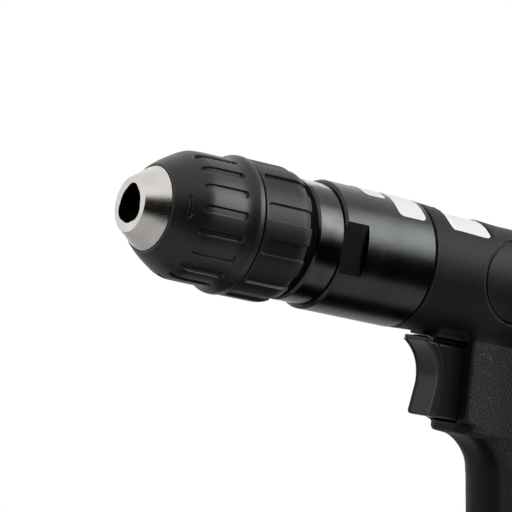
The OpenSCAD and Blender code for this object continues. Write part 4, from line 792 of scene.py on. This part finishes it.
def trigger_shape(x, y, z):
    """Field of the trigger, with a bead along both sides of its front."""
    wide = np.abs(y)
    bead, bead_from, bead_edge = 0.4, 4.6, 0.7
    paddle_t, paddle_half_w, paddle_corner, paddle_edge = 2.4, 6, 1.2, 0.8
    block_behind, block_back, block_half_w, block_top, block_low = 1.2, -124, 5.2, -20.75, -42.1
    stem_r, stem_gap, pin_r = 1.55, 0.2, 0.8
    face = np.interp(-z, -front_z, front_x)
    lean = (np.interp(-z + 0.05, -front_z, front_x) - np.interp(-z - 0.05, -front_z, front_x)) / 0.1
    ahead = (x - face) / np.sqrt(1 + lean * lean) + bead - bead * smooth((wide - bead_from) / bead_edge)
    sides = rounded((wide - paddle_half_w, trigger_low - z), paddle_corner)
    paddle = rounded((ahead, -ahead - paddle_t, sides), paddle_edge)
    paddle = rounded((paddle, z - trigger_top), 0.3)
    block = rounded((ahead + block_behind, block_back - x, wide - block_half_w, z - block_top,
                     block_low - z), 0.4)
    solid = joined(paddle, block, 0.6)
    stem = np.sqrt(y * y + (z - pin_middle[2]) ** 2)
    solid = cut(solid, np.maximum(stem - stem_r, x - stem_front - stem_gap), 0.1)
    pin = np.sqrt((x - pin_middle[0]) ** 2 + (z - pin_middle[2]) ** 2)
    return cut(solid, pin - pin_r, 0.1)


trigger_satin = moulded("satin_trigger_nylon", (0.015, 0.015, 0.015), (0.020, 0.020, 0.020),
                        (0.036, 0.036, 0.036), 0.22, 0.22, 1900, 0.004)
trigger_moulding = shaped_piece("trigger_moulding", trigger_shape, (-126, -7.5, -44), (-102, 7.5, -19.5),
                                0.25, trigger_satin)
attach(trigger_moulding, "trigger")
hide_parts("trigger")


# Reverse lever: a flat satin lever with a cross bar above the trigger, its valve and its pivot moulded on.
def lever_shape(x, y, z):
    """Field of the lever."""
    at, wide = -x, np.abs(y)
    pivot = np.sqrt((x + pivot_at) ** 2 + y * y)
    # The flat hub and arm, with the bar across the arm's front end
    hub_r, arm_half_w, flat_z, flat_half_t = 5.5, 2.5, -19.9, 0.6
    bar_at, bar_half_w, bar_r, bar_z, bar_half_t = 105, 5.3, 1.2, -19.98, 0.62
    flat = np.abs(z - flat_z) - flat_half_t
    hub = rounded((pivot - hub_r, flat), 0.3)
    arm = rounded((wide - arm_half_w, at - pivot_at, bar_at - at, flat), 0.3)
    bar_end = np.sqrt(np.maximum(wide - bar_half_w, 0) ** 2 + (at - bar_at) ** 2)
    bar = rounded((bar_end - bar_r, np.abs(z - bar_z) - bar_half_t), 0.5)
    solid = joined(joined(hub, arm, 1), bar, 1)
    # The valve above the hub and the pivot under it
    valve_r, valve_z, valve_half_h = 4, -18.35, 1.65
    pivot_r, pivot_z, pivot_half_h = 2.5, -22.1, 2.4
    solid = np.minimum(solid, rounded((pivot - valve_r, np.abs(z - valve_z) - valve_half_h), 0.2))
    return np.minimum(solid, rounded((pivot - pivot_r, np.abs(z - pivot_z) - pivot_half_h), 0.2))


reverse_switch = shaped_piece("reverse_switch", lever_shape, (-145, -9.5, -25.5), (-101, 9.5, -15.5), 0.25,
                              trigger_satin)
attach(reverse_switch, "reverse_lever")
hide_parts("reverse_lever")


# Exhaust deflector: a moulded cup round the air inlet that turns, with seven outlet slots at its back.
def deflector_shape(x, y, z):
    """Field of the deflector: a cup with a floor, a hole for the inlet, and the outlets."""
    cup_r, cup_low, cup_top, cup_edge = 14.6, -120.1, -111.3, 0.9
    hole_r, room_r, room_low = 7.55, 13, -118.5
    outlet_half_w, outlet_from_r, outlet_up, outlet_half_h = 1.1, 7.5, -115.7, 1.2
    pitch, each_side = radians(18), 3
    across, up = in_grip(x, z)
    core = np.sqrt(across * across + y * y)
    solid = rounded((core - cup_r, cup_low - up, up - cup_top), cup_edge)
    solid = cut(solid, core - hole_r, 0.2)
    solid = cut(solid, np.maximum(core - room_r, room_low - up), 0.2)
    turn = np.arctan2(y, -across)
    nearest = np.clip(np.round(turn / pitch), -each_side, each_side) * pitch
    off = np.abs(np.sin(turn - nearest)) * core
    outlet = rounded((off - outlet_half_w, outlet_from_r - core, np.abs(up - outlet_up) - outlet_half_h), 0.3)
    return cut(solid, outlet, 0.3)


deflector_cup = shaped_piece("deflector_cup", deflector_shape, (-186, -16, -126), (-149, 16, -98), 0.4,
                             sleeve_nylon)
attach(deflector_cup, "exhaust_deflector")
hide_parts("exhaust_deflector")


# Inside pieces: what the shell hides until it is taken apart. Steel, brass, rubber, felt and iron pieces
# keep their CAD shape and get the finish of their metal or fibre.
def stock(name, dark, light, metallic, rough, grain, depth):
    """Plain stock: a fine grain in its colour, gloss and height."""
    def varying(wire):
        spot = wire.node("TexCoord", output="Object")
        fine = wire.node("TexNoise", {}, {"Vector": spot, "Scale": grain, "Detail": 4})
        drift = wire.node("TexNoise", {}, {"Vector": spot, "Scale": 110, "Detail": 3})
        return {
            "Base Color": (fine * 0.5 + drift * 0.5).between(0.3, 0.7).mix((*dark, 1), (*light, 1)),
            "Roughness": rough + (fine - 0.5) * 0.2 + (drift - 0.5) * 0.1,
            "Normal": wire.node("Bump", {}, {"Strength": 0.4, "Distance": depth * mm, "Height": fine}),
        }
    return finish(name, {"Metallic": metallic}, varying)


hard_steel = turned_steel("ground_bearing_steel", (0.50, 0.50, 0.51), (0.62, 0.62, 0.62), 1, 0.20, 0.01)
dress(hard_steel, "jaw_nut", "nut_thrust_bearing", "spindle", "planet_pins", "planet_gear_1", "planet_gear_2",
      "planet_gear_3", "ring_gear", "ring_spacer", "front_bearing_outer", "front_bearing_inner",
      "rear_bearing_outer", "rear_bearing_inner", "spindle_bearing_balls", "rotor", "rotor_bearing_outers",
      "rotor_bearing_inners", "rotor_bearing_balls", "liner_pin", "trigger_pin", "motor_spring_washer",
      "inlet_screen")
dress(stock("plate_iron", (0.16, 0.16, 0.17), (0.24, 0.24, 0.24), 1, 0.42, 900, 0.03), "front_end_plate",
      "rear_end_plate", "motor_liner")
dress(stock("drawn_brass", (0.48, 0.33, 0.12), (0.62, 0.45, 0.19), 1, 0.28, 1400, 0.01), "throttle_bushing",
      "throttle_stem", "reverse_bushing")
dress(stock("black_rubber", (0.010, 0.010, 0.010), (0.018, 0.018, 0.018), 0, 0.62, 1600, 0.03), "spindle_seal",
      "stem_seal")
dress(stock("muffler_felt", (0.52, 0.48, 0.40), (0.66, 0.62, 0.53), 0, 0.95, 2400, 0.20), "muffler_felt")
dress(stock("blade_laminate", (0.14, 0.075, 0.035), (0.22, 0.12, 0.06), 0, 0.55, 1300, 0.04), "rotor_blades")
dress(turned_steel("plated_inlet_steel", (0.50, 0.50, 0.50), (0.66, 0.66, 0.65), 1, 0.24, 0.02),
      "inlet_bushing")


# Throttle spring: a coil of hard steel wire behind the valve. The stem squeezes it against the back of its
# bushing as the trigger goes in; here the coil is drawn at rest and fixed to the housing.
wire_r, coils, trigger_travel = 0.45, 7, 6.0
spring_low, spring_high = (np.array(corner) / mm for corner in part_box("throttle_spring"))
spring_len, coil_y, coil_z = spring_high[0] - spring_low[0], *((spring_low + spring_high) / 2)[1:]
coil_r = (spring_high[1] - spring_low[1]) / 2 - wire_r
rise = (spring_len - 2 * wire_r) / (2 * np.pi * coils)
round_wire = np.linspace(0, 2 * np.pi, 13)[:-1, None]
coil_rings = []
for turn in np.linspace(0, 2 * np.pi * coils, 40 * coils + 1):
    outwards = np.array((0, cos(turn), sin(turn)))
    onwards = np.array((rise, -coil_r * sin(turn), coil_r * cos(turn))) / np.hypot(rise, coil_r)
    middle = np.array((spring_low[0] + wire_r + rise * turn, coil_y, coil_z)) + coil_r * outwards
    sideways = np.cross(onwards, outwards)
    coil_rings.append(middle + wire_r * (np.cos(round_wire) * outwards + np.sin(round_wire) * sideways))
throttle_coil = ringed("throttle_coil", coil_rings, hard_steel)
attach(throttle_coil, "housing")
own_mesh(throttle_coil)
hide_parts("throttle_spring")
